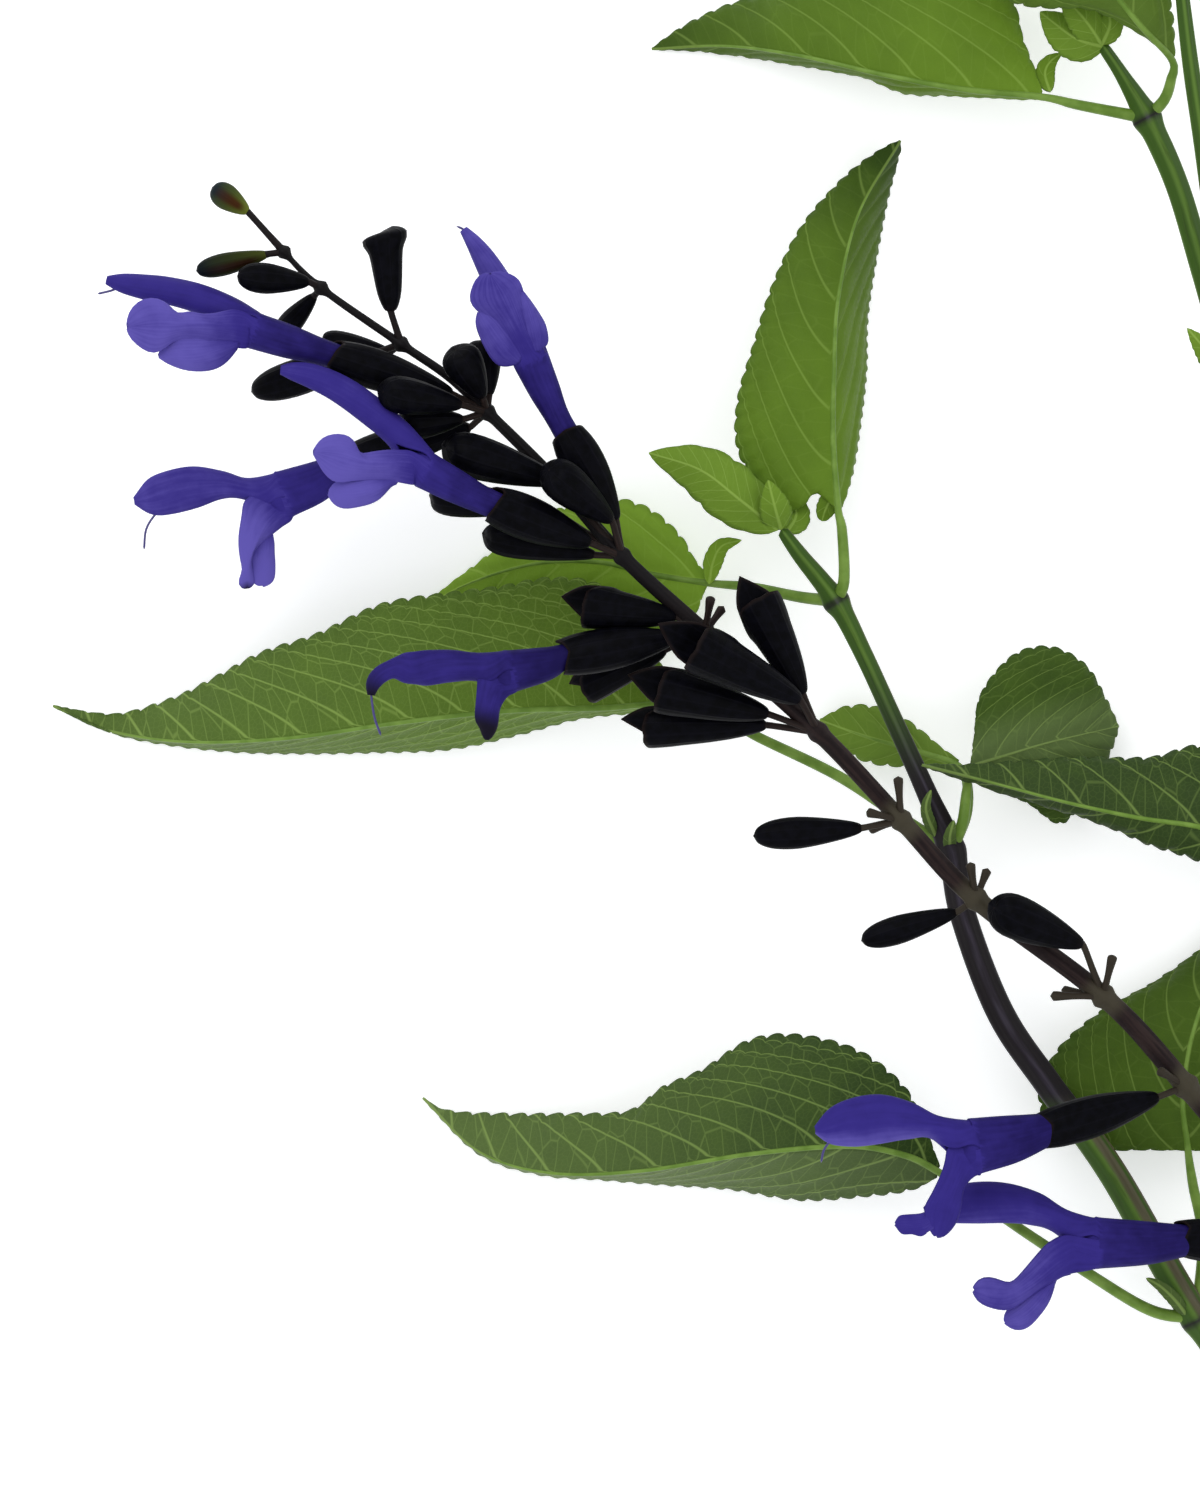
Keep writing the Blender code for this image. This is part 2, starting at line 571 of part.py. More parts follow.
def stem_tube(table, steps, more_mm=0.0):
    """A stem from its table of places and radii, fatter all round by more_mm."""
    points = [sheet(place) for place, _ in table]
    radii = [(radius + more_mm) * MM for _, radius in table]
    return tube(points, radii, steps, STALK_EIGHT_SIDES)


def ball(place, radius_mm):
    """A swelling: a coarse sphere."""
    shape = bmesh.new()
    bmesh.ops.create_icosphere(shape, subdivisions=1, radius=radius_mm * MM)
    bmesh.ops.translate(shape, verts=shape.verts, vec=sheet(place))
    mesh = bpy.data.meshes.new("ball")
    shape.to_mesh(mesh)
    shape.free()
    return object_from("ball", mesh)


def loft(rings):
    """A closed solid through rings with the same number of points, capped at both ends."""
    shape = bmesh.new()
    rows = [[shape.verts.new(point) for point in ring] for ring in rings]
    sides = len(rings[0])
    for row, following in zip(rows, rows[1:]):
        for i in range(sides):
            j = (i + 1) % sides
            shape.faces.new((row[i], row[j], following[j], following[i]))
    shape.faces.new(list(reversed(rows[0])))
    shape.faces.new(rows[-1])
    bmesh.ops.triangulate(shape, faces=shape.faces)
    bmesh.ops.recalc_face_normals(shape, faces=shape.faces)
    mesh = bpy.data.meshes.new("loft")
    shape.to_mesh(mesh)
    shape.free()
    return object_from("loft", mesh)


def boolean(name, base, others, operation):
    """The base joined to, or cut by, all the others in one Boolean; the others then go."""
    helpers = bpy.data.collections.new("helpers")
    bpy.context.scene.collection.children.link(helpers)
    for other in others:
        for holder in list(other.users_collection):
            holder.objects.unlink(other)
        helpers.objects.link(other)
    step = base.modifiers.new("join", "BOOLEAN")
    step.operation = operation
    step.operand_type = "COLLECTION"
    step.collection = helpers
    step.solver = "MANIFOLD"
    made = evaluated_copy(base, name, flatten=True)
    for other in list(helpers.objects):
        bpy.data.objects.remove(other)
    bpy.data.collections.remove(helpers)
    return made


def finish(obj, name, material):
    obj.name = name
    obj.data.name = name
    obj.data.materials.clear()
    obj.data.materials.append(material_named(material))
    obj.data.shade_smooth()
    obj.data.set_sharp_from_angle(angle=SHARP_ANGLE)
    return obj


def grid_blade(rows, columns, place, thick_mm):
    """A thin closed blade: a grid whose points place(share, side, out, row) moves, then thickened."""
    shape = bmesh.new()
    bmesh.ops.create_grid(shape, x_segments=rows, y_segments=2 * columns, size=0.5)
    for vertex in shape.verts:
        share = vertex.co.x + 0.5
        out = min(abs(2 * vertex.co.y), 1.0)
        side = 0 if vertex.co.y > 0 else 1
        row = round(share * rows)
        if out < 0.99:
            row -= row % 2
        vertex.co = place(row / rows, side, out, row)
    bmesh.ops.remove_doubles(shape, verts=shape.verts, dist=MERGE_MM * MM)
    bmesh.ops.triangulate(shape, faces=shape.faces)
    mesh = bpy.data.meshes.new("blade")
    shape.to_mesh(mesh)
    shape.free()
    made = object_from("blade", mesh)
    thick = made.modifiers.new("thickness", "SOLIDIFY")
    thick.thickness = thick_mm * MM
    thick.offset = 0.0
    return evaluated_copy(made, "blade")


def blade(rib, left, right, drop, teeth, tooth_mm=TOOTH_MM, thick_mm=BLADE_MM, columns=2):
    """A blade between its midrib and its two edges, with a crenate margin."""
    middle = smooth_curve([Vector(place) for place in rib])
    edges = [smooth_curve([Vector((*place, 0.0)) for place in edge]) for edge in (left, right)]

    def place(share, side, out, row):
        centre = middle(share)
        edge = edges[side](share)
        edge.z = max(centre.z + drop[side] * math.sin(math.pi * share) ** 0.7, TIP_MM)
        inner, outer = sheet(centre), sheet(edge)
        width = (outer - inner).length
        notch = min(tooth_mm * MM / width, 0.4) if width > 0 and row % 2 == 0 else 0.0
        arch = ARCH * width * math.sin(math.pi * out)
        return inner.lerp(outer, out * (1 - notch * out)) + UP * arch

    return grid_blade(2 * teeth, columns, place, thick_mm)


def leaflet(rib, half_mm, tilt):
    """A small pointed young leaf, from its midrib, half width and tilt."""
    middle = smooth_curve([sheet(place) for place in rib])
    rise = math.tan(math.radians(tilt))

    def place(share, side, out, row):
        left = UP.cross(heading(middle, share)).normalized()
        width = half_mm * MM * out * math.sin(math.pi * share**0.8)
        return middle(share) + left * (width if side == 0 else -width) + UP * width * rise

    return grid_blade(LEAFLET_ROWS, 1, place, BLADE_MM)


def table_slab():
    """The table, top at height zero, which cuts a small flat where a piece rests on it."""
    shape = bmesh.new()
    bmesh.ops.create_cube(shape, size=1.0)
    bmesh.ops.scale(shape, verts=shape.verts, vec=TABLE)
    bmesh.ops.translate(shape, verts=shape.verts, vec=(0.0, 0.0, -TABLE[2] / 2))
    mesh = bpy.data.meshes.new("table")
    shape.to_mesh(mesh)
    shape.free()
    return object_from("table", mesh)


def stems(more_mm):
    """The whole stem as loose pieces, fatter by more_mm when it serves as a cutter."""
    made = [
        stem_tube(LEFT_SHOOT, 20, more_mm),
        stem_tube(MAIN_STEM, 3, more_mm),
        stem_tube(RIGHT_SHOOT, 18, more_mm),
        stem_tube(SIDE_SHOOT, 6, more_mm),
    ]
    made += [ball(place, radius + more_mm) for place, radius in STEM_NODES]
    return made


def make_stem():
    pieces = stems(0.0)
    for rib, half_mm, tilt in YOUNG_LEAVES:
        pieces.append(leaflet(rib, half_mm, tilt))
    whole = boolean("stem", pieces[0], pieces[1:], "UNION")
    whole = boolean("stem", whole, [table_slab()], "DIFFERENCE")
    return finish(whole, "stem", "stem_green")


def make_leaf(name, leaf):
    """Blade and petiole as one leaf, cut where it sits against the stem."""
    petiole = [sheet(place) for place in leaf["petiole"] + leaf["rib"][:2]]
    radii = [PETIOLE_MM * MM] * (len(petiole) - 1) + [PETIOLE_MM * MM / 2]
    stalk = tube(petiole, radii, len(leaf["petiole"]) + 2, STALK_SIX_SIDES)
    plate = blade(leaf["rib"], leaf["left"], leaf["right"], leaf["drop"], leaf["teeth"])
    added = [stalk]
    if "auricle" in leaf:
        added.append(leaflet(leaf["auricle"], leaf["auricle_mm"], 0))
    whole = boolean("leaf", plate, added, "UNION")
    whole = boolean("leaf", whole, stems(SEAT_GAP_MM) + [table_slab()], "DIFFERENCE")
    return finish(whole, name, "leaf_green")


def across_axes(forward, hint):
    """Two directions square to forward, the first as near to hint as it can be."""
    first = (hint - forward * hint.dot(forward)).normalized()
    return first, forward.cross(first)


# Share of a calyx's length, and share of its widest radius, from base to mouth and back inside
CALYX_PROFILE = ((0.0, 0.36), (0.22, 0.7), (0.58, 1.0))
SHUT_END = ((0.88, 0.82), (1.0, 0.2))
OPEN_END = ((0.88, 0.98), (0.86, 0.8), (0.72, 0.7))
LIP_REACH = 0.14


def calyx(mouth, base, radius_mm, kind):
    """A bell, two-lipped where it is open, drawn to a point where it is shut."""
    start, end = sheet(base), sheet(mouth)
    forward = (end - start).normalized()
    length = (end - start).length
    upper, side = across_axes(forward, UP)
    sides = SHUT_SIDES if kind == "shut" else OPEN_SIDES

    def ring(share, width, lip):
        points = []
        for i in range(sides):
            angle = 2 * math.pi * i / sides
            tooth = lip * length * (0.5 + 0.5 * math.cos(2 * angle))
            out = (upper * math.cos(angle) + side * math.sin(angle)) * radius_mm * width * MM
            points.append(start + forward * (length * share + tooth) + out)
        return points

    rings = [ring(share, width, 0.0) for share, width in CALYX_PROFILE]
    if kind == "shut":
        rings += [ring(share, width, 0.0) for share, width in SHUT_END]
    else:
        reach = (LIP_REACH, LIP_REACH, 0.0)
        rings += [ring(share, width, lip) for (share, width), lip in zip(OPEN_END, reach)]
    return loft(rings)


def make_raceme():
    """The black axis with its pedicels and calyces, all grown as one."""
    pieces = [stem_tube(RACEME, RACEME_STEPS)]
    for whorl, place in WHORLS.items():
        pieces.append(ball(place, SWELLING_MM + SWELLING_STEP_MM * whorl))
    holding = tuple(flower["calyx"] + ("open",) for flower in FLOWERS)
    for whorl, mouth, base, radius_mm, kind in CALYCES + holding:
        pieces.append(calyx(mouth, base, radius_mm, kind))
        root, top = sheet(WHORLS[whorl]), sheet(base)
        sunk = top.lerp(sheet(mouth), 0.08)
        pieces.append(tube([root, top, sunk], [PEDICEL_MM * MM] * 3, 2, STALK_FOUR_SIDES))
    for whorl, end in BARE_PEDICELS:
        root, top = sheet(WHORLS[whorl]), sheet(end)
        pieces.append(tube([root, top], [PEDICEL_MM * MM] * 2, 1, STALK_FOUR_SIDES))
    whole = boolean("raceme", pieces[0], pieces[1:], "UNION")
    whole = boolean("raceme", whole, stems(SEAT_GAP_MM), "DIFFERENCE")
    return finish(whole, "raceme", "raceme_black")


def section(centre, forward, hint, tall_mm, wide_mm):
    """A ring round the centre, tall along the hint and wide across it."""
    upper, side = across_axes(forward, hint)
    points = []
    for i in range(COROLLA_SIDES):
        angle = 2 * math.pi * i / COROLLA_SIDES
        out = upper * (tall_mm * math.cos(angle)) + side * (wide_mm * math.sin(angle))
        points.append(centre + out * MM)
    return points


def seat_in_calyx(mouth, base, radius_mm):
    """Where a corolla's tube starts inside its calyx, clear of the floor and walls."""
    start, end = sheet(base), sheet(mouth)
    length = (end - start).length
    floor, wall = OPEN_END[2], OPEN_END[1]
    flat = math.cos(math.pi / OPEN_SIDES)
    foot = start.lerp(end, floor[0] + SEAT_GAP_MM * MM / length)
    neck = start.lerp(end, wall[0])
    return (
        (foot, radius_mm * floor[1] * flat - SEAT_GAP_MM),
        (neck, radius_mm * wall[1] * flat - SEAT_GAP_MM),
    )


def make_flower(number, flower):
    """A two-lipped corolla: a swelling tube, a long arched hood and a lobed lower lip."""
    hint = sheet(flower["hood"][-1][0]) - sheet(flower["lip"][-1])
    seat = [(place, radius, radius) for place, radius in seat_in_calyx(*flower["calyx"][1:])]
    body = seat + [(sheet(place), tall, wide) for place, tall, wide in flower["tube"]]
    hood = [(sheet(place), tall, wide) for place, tall, wide in flower["hood"]]

    def rings(sections):
        places = [place for place, _, _ in sections]
        made = []
        for i, (place, tall, wide) in enumerate(sections):
            forward = places[min(i + 1, len(places) - 1)] - places[max(i - 1, 0)]
            made.append(section(place, forward.normalized(), hint, tall, wide))
        return made

    tip = flower["lip"][-1][:2]
    lip = blade(
        flower["lip"], flower["left"] + (tip,), flower["right"] + (tip,), flower["drop"],
        LIP_TEETH, tooth_mm=0.0, thick_mm=LIP_MM, columns=1,
    )
    whole = boolean("corolla", loft(rings(body)), [loft(rings(hood)), lip], "UNION")
    return finish(whole, f"corolla_{number}", "corolla_blue")


def clear_scene():
    for obj in list(bpy.data.objects):
        bpy.data.objects.remove(obj, do_unlink=True)
    for holder in list(bpy.data.collections):
        bpy.data.collections.remove(holder)


def main():
    clear_scene()
    branch = collection_named("perennial_salvia")
    made = [make_stem(), make_raceme()]
    made += [make_leaf(name, leaf) for name, leaf in LEAVES.items()]
    made += [make_flower(i + 1, flower) for i, flower in enumerate(FLOWERS)]
    for obj in made:
        collection_named("pieces").objects.unlink(obj)
        branch.objects.link(obj)
    bpy.data.collections.remove(collection_named("pieces"))


main()
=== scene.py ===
# %% [markdown]
# A cut branch of perennial salvia, dressed for the camera.
#
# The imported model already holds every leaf, shoot, calyx and flower at its real size, but as
# coarse faceted solids. This lesson replaces each of them with a finer mesh of the same form and
# gives it the finish of the living plant: crenate green leaves with a net of veins, near-black
# calyces and violet-blue two-lipped flowers. The branch lies on a table and the camera looks
# straight down on it.

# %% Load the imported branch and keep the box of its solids
import math

import bpy
import numpy as np
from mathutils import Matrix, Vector


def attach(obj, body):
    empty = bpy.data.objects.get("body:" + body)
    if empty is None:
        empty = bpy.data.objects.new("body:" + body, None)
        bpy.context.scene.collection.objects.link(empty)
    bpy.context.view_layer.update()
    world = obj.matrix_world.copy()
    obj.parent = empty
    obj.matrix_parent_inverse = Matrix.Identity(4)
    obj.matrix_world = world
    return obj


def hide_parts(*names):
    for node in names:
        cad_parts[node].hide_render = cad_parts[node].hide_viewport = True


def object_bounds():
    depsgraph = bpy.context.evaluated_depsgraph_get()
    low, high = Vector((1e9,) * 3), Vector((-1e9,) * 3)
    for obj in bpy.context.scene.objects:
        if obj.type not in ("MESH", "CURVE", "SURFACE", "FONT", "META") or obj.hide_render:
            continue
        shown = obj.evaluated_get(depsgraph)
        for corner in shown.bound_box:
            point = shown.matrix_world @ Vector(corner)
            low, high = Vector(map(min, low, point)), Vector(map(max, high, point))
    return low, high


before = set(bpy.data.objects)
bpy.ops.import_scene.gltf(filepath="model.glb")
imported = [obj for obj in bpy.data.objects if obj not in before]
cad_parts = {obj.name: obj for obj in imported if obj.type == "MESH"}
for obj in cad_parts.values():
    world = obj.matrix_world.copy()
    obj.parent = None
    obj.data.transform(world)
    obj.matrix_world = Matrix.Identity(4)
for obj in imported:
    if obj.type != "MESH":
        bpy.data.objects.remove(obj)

MM = 0.001
cad_box = [list(corner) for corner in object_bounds()]
print("nodes in the frame:", len(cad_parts))
print("box of the solids in mm:", [[round(x / MM, 1) for x in corner] for corner in cad_box])

# %% [markdown]
# The plant lies flat, so the camera hangs over it like a copy stand. A long lens far away keeps
# the parallax small. One pixel of the picture is 0.15 mm on the table, and places on the plant are
# given as picture coordinates with a height, which is how a botanist would note them from a plate.
# `sheet` turns such places into metres, with the shift that a higher point gets in the picture.

# %% Camera over the table
MM_PER_PIXEL = 0.15
PICTURE = (1200, 1500)
EYE_HEIGHT_MM = 937.5
ORIGIN_AT = np.array([846.5, 766.1])
CENTRE_AT = np.array([600.0, 750.0])
SENSOR_MM = 36.0


def sheet(places):
    """Places (x pixel, y pixel, height in mm) as points in metres."""
    places = np.asarray(places, float)
    nearer = 1 - places[..., 2:] / EYE_HEIGHT_MM
    flat = ((places[..., :2] - CENTRE_AT) * nearer - (ORIGIN_AT - CENTRE_AT)) * MM_PER_PIXEL
    return np.concatenate([flat * (1, -1), places[..., 2:]], axis=-1) * MM


bpy.ops.object.select_all(action="DESELECT")
eye = (CENTRE_AT - ORIGIN_AT) * (1, -1) * MM_PER_PIXEL * MM
bpy.ops.object.camera_add(location=(eye[0], eye[1], EYE_HEIGHT_MM * MM), rotation=(0, 0, 0))
camera = bpy.context.object
camera.data.sensor_width = SENSOR_MM
camera.data.lens = SENSOR_MM * EYE_HEIGHT_MM / (PICTURE[1] * MM_PER_PIXEL)
camera.data.clip_start = 0.01
camera.data.clip_end = 20
bpy.context.scene.camera = camera
bpy.context.scene.view_settings.view_transform = "Standard"
print("lens in mm:", round(camera.data.lens, 1))

# %% [markdown]
# A finish in Blender is a small graph of nodes. One function adds a node with its settings and
# links, one turns a colour as a painter would pick it into the linear numbers that the renderer
# computes with, and one hands the results to the shader.

# %% Tools for the finishes
def linear(colour):
    """An sRGB hex colour as linear red, green, blue and alpha."""
    parts = [int(colour[k:k + 2], 16) / 255 for k in (1, 3, 5)]
    return (*(p / 12.92 if p <= 0.04045 else ((p + 0.055) / 1.055) ** 2.4 for p in parts), 1.0)


def feed(finish, socket, value):
    """Sets a socket to a value, or links it to the output of another node."""
    if isinstance(value, bpy.types.NodeSocket):
        finish.node_tree.links.new(value, socket)
    else:
        socket.default_value = value


def node(finish, kind, settings=(), **inputs):
    """Adds a node. An input goes by its name, with _ for a space, or by i and its number."""
    made = finish.node_tree.nodes.new(kind)
    for key, value in dict(settings).items():
        setattr(made, key, value)
    for key, value in inputs.items():
        feed(finish, made.inputs[int(key[1:]) if key[1:].isdigit() else key.replace("_", " ")], value)
    return made


def new_finish(name):
    finish = bpy.data.materials.new(name)
    finish.use_nodes = True
    return finish


def dress(finish, **inputs):
    """Sets and links the inputs of the finish's shader."""
    shader = finish.node_tree.nodes["Principled BSDF"]
    for key, value in inputs.items():
        feed(finish, shader.inputs[key.replace("_", " ")], value)
    print(finish.name, "has", len(finish.node_tree.nodes), "nodes")


print("middle grey #808080 is", round(linear("#808080")[0], 3), "of white in linear light")

# %% [markdown]
# The branch lies on a light table: a sheet of opal acrylic, lit softly from below, so that the
# ground stays nearly white even under the leaves. A large softbox above and to the upper left
# gives the leaves their gentle shading, a second one fills in, and the pale sky does the rest.

# %% Table, light and sky
FLOOR_MM = 4000
FLOOR_DROP_MM = 0.5
TABLE_GLOW = 0.35
SKY_STRENGTH = 0.95

bpy.ops.object.select_all(action="DESELECT")
bpy.ops.mesh.primitive_plane_add(size=FLOOR_MM * MM, location=(0, 0, -FLOOR_DROP_MM * MM))
floor = bpy.context.object
floor.name = "table_top"
# Opal acrylic: a cast sheet with a white filler, matt on top, with lamps behind it
opal = new_finish("opal_acrylic")
dress(opal, Base_Color=linear("#fbfbfa"), Roughness=0.9, Specular_IOR_Level=0.1,
      Emission_Color=linear("#ffffff"), Emission_Strength=TABLE_GLOW)
floor.data.materials.append(opal)


def softbox(name, place, size, watts):
    """A square area lamp that faces the plant."""
    bpy.ops.object.light_add(type="AREA", location=place)
    lamp = bpy.context.object
    lamp.name = name
    lamp.data.shape = "RECTANGLE"
    lamp.data.size = lamp.data.size_y = size
    lamp.data.energy = watts
    lamp.rotation_euler = (-Vector(place)).to_track_quat("-Z", "Y").to_euler()


softbox("key_softbox", (-0.55, 0.75, 1.15), 1.2, 6.5)
softbox("fill_softbox", (0.8, -0.5, 1.2), 1.4, 3.0)
world = bpy.data.worlds.new("pale_sky")
bpy.context.scene.world = world
world.use_nodes = True
background = world.node_tree.nodes["Background"]
background.inputs["Color"].default_value = linear("#f4f6fa")
background.inputs["Strength"].default_value = SKY_STRENGTH

# %% [markdown]
# Everything on the plant follows a few measured points: the line of a midrib, the edge of a leaf,
# the axis of the flower spike. A Catmull-Rom curve passes through all its points without corners,
# as living tissue does, and it is read by the share of its length, so that teeth and veins keep an
# even pitch.

# %% A smooth line through measured points
CURVE_SAMPLES = 400


def table(text, columns):
    """Numbers in a text as rows of so many columns."""
    return np.array(text.split(), float).reshape(-1, columns)


def through(points):
    """The Catmull-Rom curve through the points, as a function of the share of its length."""
    points = np.asarray(points, float)
    padded = np.vstack([2 * points[0] - points[1], points, 2 * points[-1] - points[-2]])
    place = np.linspace(0, len(points) - 1, CURVE_SAMPLES + 1)
    first = np.minimum(place.astype(int), len(points) - 2)
    t = (place - first)[:, None]
    before, a, b, after = (padded[first + k] for k in range(4))
    bend = (b - before) * t + (2 * before - 5 * a + 4 * b - after) * t**2
    line = a + 0.5 * (bend + (3 * a - before - 3 * b + after) * t**3)
    lengths = np.concatenate([[0], np.cumsum(np.linalg.norm(np.diff(line, axis=0), axis=1))])
    shares = lengths / lengths[-1]
    return lambda share: np.stack([np.interp(share, shares, column) for column in line.T], axis=-1)


def length_mm(places):
    """Length in mm of the smooth line through places on the sheet."""
    line = sheet(through(places)(np.linspace(0, 1, CURVE_SAMPLES)))
    return np.linalg.norm(np.diff(line, axis=0), axis=1).sum() / MM


def unit(vectors):
    return vectors / np.maximum(np.linalg.norm(vectors, axis=-1, keepdims=True), 1e-12)


def direction(line, share, step=0.02):
    """The way in which a line runs at a share of its length."""
    ahead, behind = line(np.minimum(share + step, 1)), line(np.maximum(share - step, 0))
    return unit((ahead - behind)[..., :3])


def smooth(x, start, end):
    """0 before start, 1 after end, and an S between them."""
    t = np.clip((x - start) / (end - start), 0, 1)
    return t * t * (3 - 2 * t)


radius = 10 / MM_PER_PIXEL
turns = np.linspace(0, math.pi / 2, 5)
quarter = [(radius * math.cos(turn), radius * math.sin(turn), 0) for turn in turns]
print("a quarter turn of 10 mm radius measures", round(length_mm(quarter), 2), "mm, a true one 15.71")

# %% [markdown]
# Petals, leaves and the walls of a calyx are all thin sheets, and a stem is a sheet rolled up. So
# one step makes them all: a grid primitive whose points are moved to where a formula puts them. A
# rolled sheet has its seam and poles merged in edit mode, an open one gets its thickness from a
# Solidify modifier. The place of a point along and across the grid stays in the UV map, where the
# finish can read it.

# %% A grid that is bent into a sheet or a tube
def select_only(*pieces):
    bpy.ops.object.select_all(action="DESELECT")
    for piece in pieces:
        piece.select_set(True)
    bpy.context.view_layer.objects.active = pieces[0]


def vertex_values(piece, kind):
    """The coordinates (co) or the normals (normal) of all points."""
    values = np.empty(len(piece.data.vertices) * 3, np.float32)
    piece.data.vertices.foreach_get(kind, values)
    return values.reshape(-1, 3).astype(float)


def move_points(piece, points):
    piece.data.vertices.foreach_set("co", np.asarray(points, np.float32).ravel())
    piece.data.update()


def close_up(piece):
    """Merges doubled points and turns all faces outwards."""
    select_only(piece)
    bpy.ops.object.mode_set(mode="EDIT")
    bpy.ops.mesh.select_all(action="SELECT")
    bpy.ops.mesh.remove_doubles(threshold=0.002 * MM)
    bpy.ops.mesh.normals_make_consistent(inside=False)
    bpy.ops.object.mode_set(mode="OBJECT")


def bent_grid(name, rows, columns, place, uv, closed=False):
    """A grid whose point at (along, across), both 0 to 1, goes where place says, in metres."""
    bpy.ops.object.select_all(action="DESELECT")
    bpy.ops.mesh.primitive_grid_add(x_subdivisions=rows, y_subdivisions=columns, size=1)
    piece = bpy.context.object
    piece.name = piece.data.name = name
    along, across = (vertex_values(piece, "co")[:, :2] + 0.5).T
    move_points(piece, place(along, across))
    corners = np.empty(len(piece.data.loops), np.int32)
    piece.data.loops.foreach_get("vertex_index", corners)
    values = np.stack(uv(along, across), axis=-1)[corners]
    piece.data.uv_layers[0].data.foreach_set("uv", values.astype(np.float32).ravel())
    if closed:
        close_up(piece)
    return piece


def shares(rows, columns):
    """Share along and share across of each point of an open grid, in the grid's own order."""
    sides = np.meshgrid(np.linspace(0, 1, columns + 1), np.linspace(0, 1, rows + 1), indexing="ij")
    return sides[1].ravel(), sides[0].ravel()


print("a grid of 2 by 3 fields is shared out as:", [side.round(2).tolist() for side in shares(2, 3)])

# %% [markdown]
# Every piece ends in the same way: numbers for the finish are painted on its points, its parts are
# joined under one name, it is shaded smooth, and it takes the place of its solids in the frame. The
# box of the solids is also the outer limit of the dressed plant, so a point that would leave it is
# held at its wall.

# %% From parts to a piece in the frame
def paint(piece, **numbers):
    """Keeps numbers for each point as attributes that the finish reads."""
    for name, values in numbers.items():
        kept = piece.data.attributes.new(name, "FLOAT", "POINT")
        kept.data.foreach_set("value", np.asarray(values + np.zeros(len(kept.data)), np.float32))


def apply(piece, kind, **settings):
    """Adds one modifier with its settings and applies it."""
    select_only(piece)
    bpy.ops.object.modifier_add(type=kind)
    modifier = piece.modifiers[-1]
    for key, value in settings.items():
        setattr(modifier, key, value)
    bpy.ops.object.modifier_apply(modifier=modifier.name)


def thicken(piece, wall_mm):
    """Gives an open sheet its thickness, half of it on either side."""
    apply(piece, "SOLIDIFY", thickness=wall_mm * MM, offset=0.0)


def joined(name, pieces):
    select_only(*pieces)
    if len(pieces) > 1:
        bpy.ops.object.join()
    whole = bpy.context.object
    whole.name = whole.data.name = name
    return whole


def place_in_frame(piece, slot, *nodes):
    """Smooth shading, and the piece's place in the frame instead of the nodes it replaces."""
    move_points(piece, np.clip(vertex_values(piece, "co"), *cad_box))
    select_only(piece)
    bpy.ops.object.shade_smooth()
    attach(piece, "root")
    if nodes:
        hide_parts(*nodes)
    print(piece.name, "has", len(piece.data.polygons), "faces")
    return piece


print("limit of the plant in mm:", [round(x / MM, 1) for x in np.subtract(*cad_box[::-1])])

# %% [markdown]
# A leaf is measured by its petiole, its midrib and its two edges as they show from above. Left and
# right are those of someone who walks from the petiole to the tip. Both edges hang lower than the
# midrib, and some blades carry a small lobe that curls at their foot. The first five leaves sit at
# the two upper nodes of the left shoot.

# %% Leaves below the flower spike
TIP_MM = 0.25
LEAVES = {}


def outline(rib, left, right, drop):
    """A blade or a petal: its middle line, its edges, which end at its tip, and their drop in mm."""
    rib = table(rib, 3)
    left, right = (np.vstack([table(edge, 2), rib[-1:, :2]]) for edge in (left, right))
    return {"rib": rib, "left": left, "right": right, "drop": drop}


def keep_leaf(name, petiole, lobe=None, lobe_mm=0.0, **blade):
    """Keeps the measures of one leaf."""
    LEAVES[name] = outline(**blade) | {"petiole": table(petiole, 3)}
    if lobe:
        LEAVES[name] |= {"lobe": table(lobe, 3), "lobe_mm": lobe_mm}
    print(name, "has a blade of", round(length_mm(LEAVES[name]["rib"])), "mm")


keep_leaf(
    "leaf_upright", drop=(-2, -12),
    petiole="836 601 17  844 580 19  842 530 19",
    rib="838 508 18  833 440 17  834 370 16  838 300 14  858 215 10  900 141 5",
    left="""
        836 508  812 492  790 512  762 492  737 450  737 400  752 348  772 285  802 225  846 175
        882 149""",
    right="840 510  852 474  860 425  866 370  868 310  884 215  897 160",
    lobe="839 500 18  830 502 17  825 511 16.5  822 521 16", lobe_mm=1.6,
)
keep_leaf(
    "leaf_left_back", drop=(-3, -2),
    petiole="836 601 17  800 597 14  750 587 10",
    rib="708 583 8  650 574 7  597 562 6  530 565 4  460 588 1.6  405 622 0.25",
    left="706 588  690 620  640 642  570 645  500 640  440 633",
    right="709 578  694 558  680 534  650 508  612 498  560 508  522 530  486 557  444 590",
    lobe="709 584 8.5  713 562 9.5  722 546 10  742 540 10", lobe_mm=1.5,
)
keep_leaf(
    "leaf_left_front", drop=(-14, -3),
    petiole="951 850 15  905 820 13  840 777 14  760 738 15",
    rib="""
        692 705 15  600 708 16  504 711 17  397 723 17  290 738 14  190 742 7  112 731 0.25  53 706 0.25""",
    left="692 710  629 713  576 719  520 734  450 749  375 752  300 753  230 751  160 743  107 731",
    right="""
        690 702  664 668  640 622  600 584  550 577  497 586  440 593  379 604  317 633  263 651
        218 675  174 697  116 713""",
)
keep_leaf(
    "leaf_right_round", drop=(-2, -5),
    petiole="951 850 15  962 825 16  967 790 15",
    rib="971 766 14  1000 757 13  1050 742 10  1118 726 5",
    left="971 762  974 738  980 694  1012 655  1050 646  1085 664  1105 697",
    right="973 770  997 788  1030 805  1060 824  1084 800  1104 766  1114 742",
)
keep_leaf(
    "leaf_right_small", drop=(-1, -1),
    petiole="951 850 15  966 815 12  967 783 11",
    rib="957 765 10  920 752 8  870 738 5  820 720 2",
    left="954 768  928 768  898 767  865 762  838 745",
    right="959 760  940 746  908 720  876 706  846 706",
)

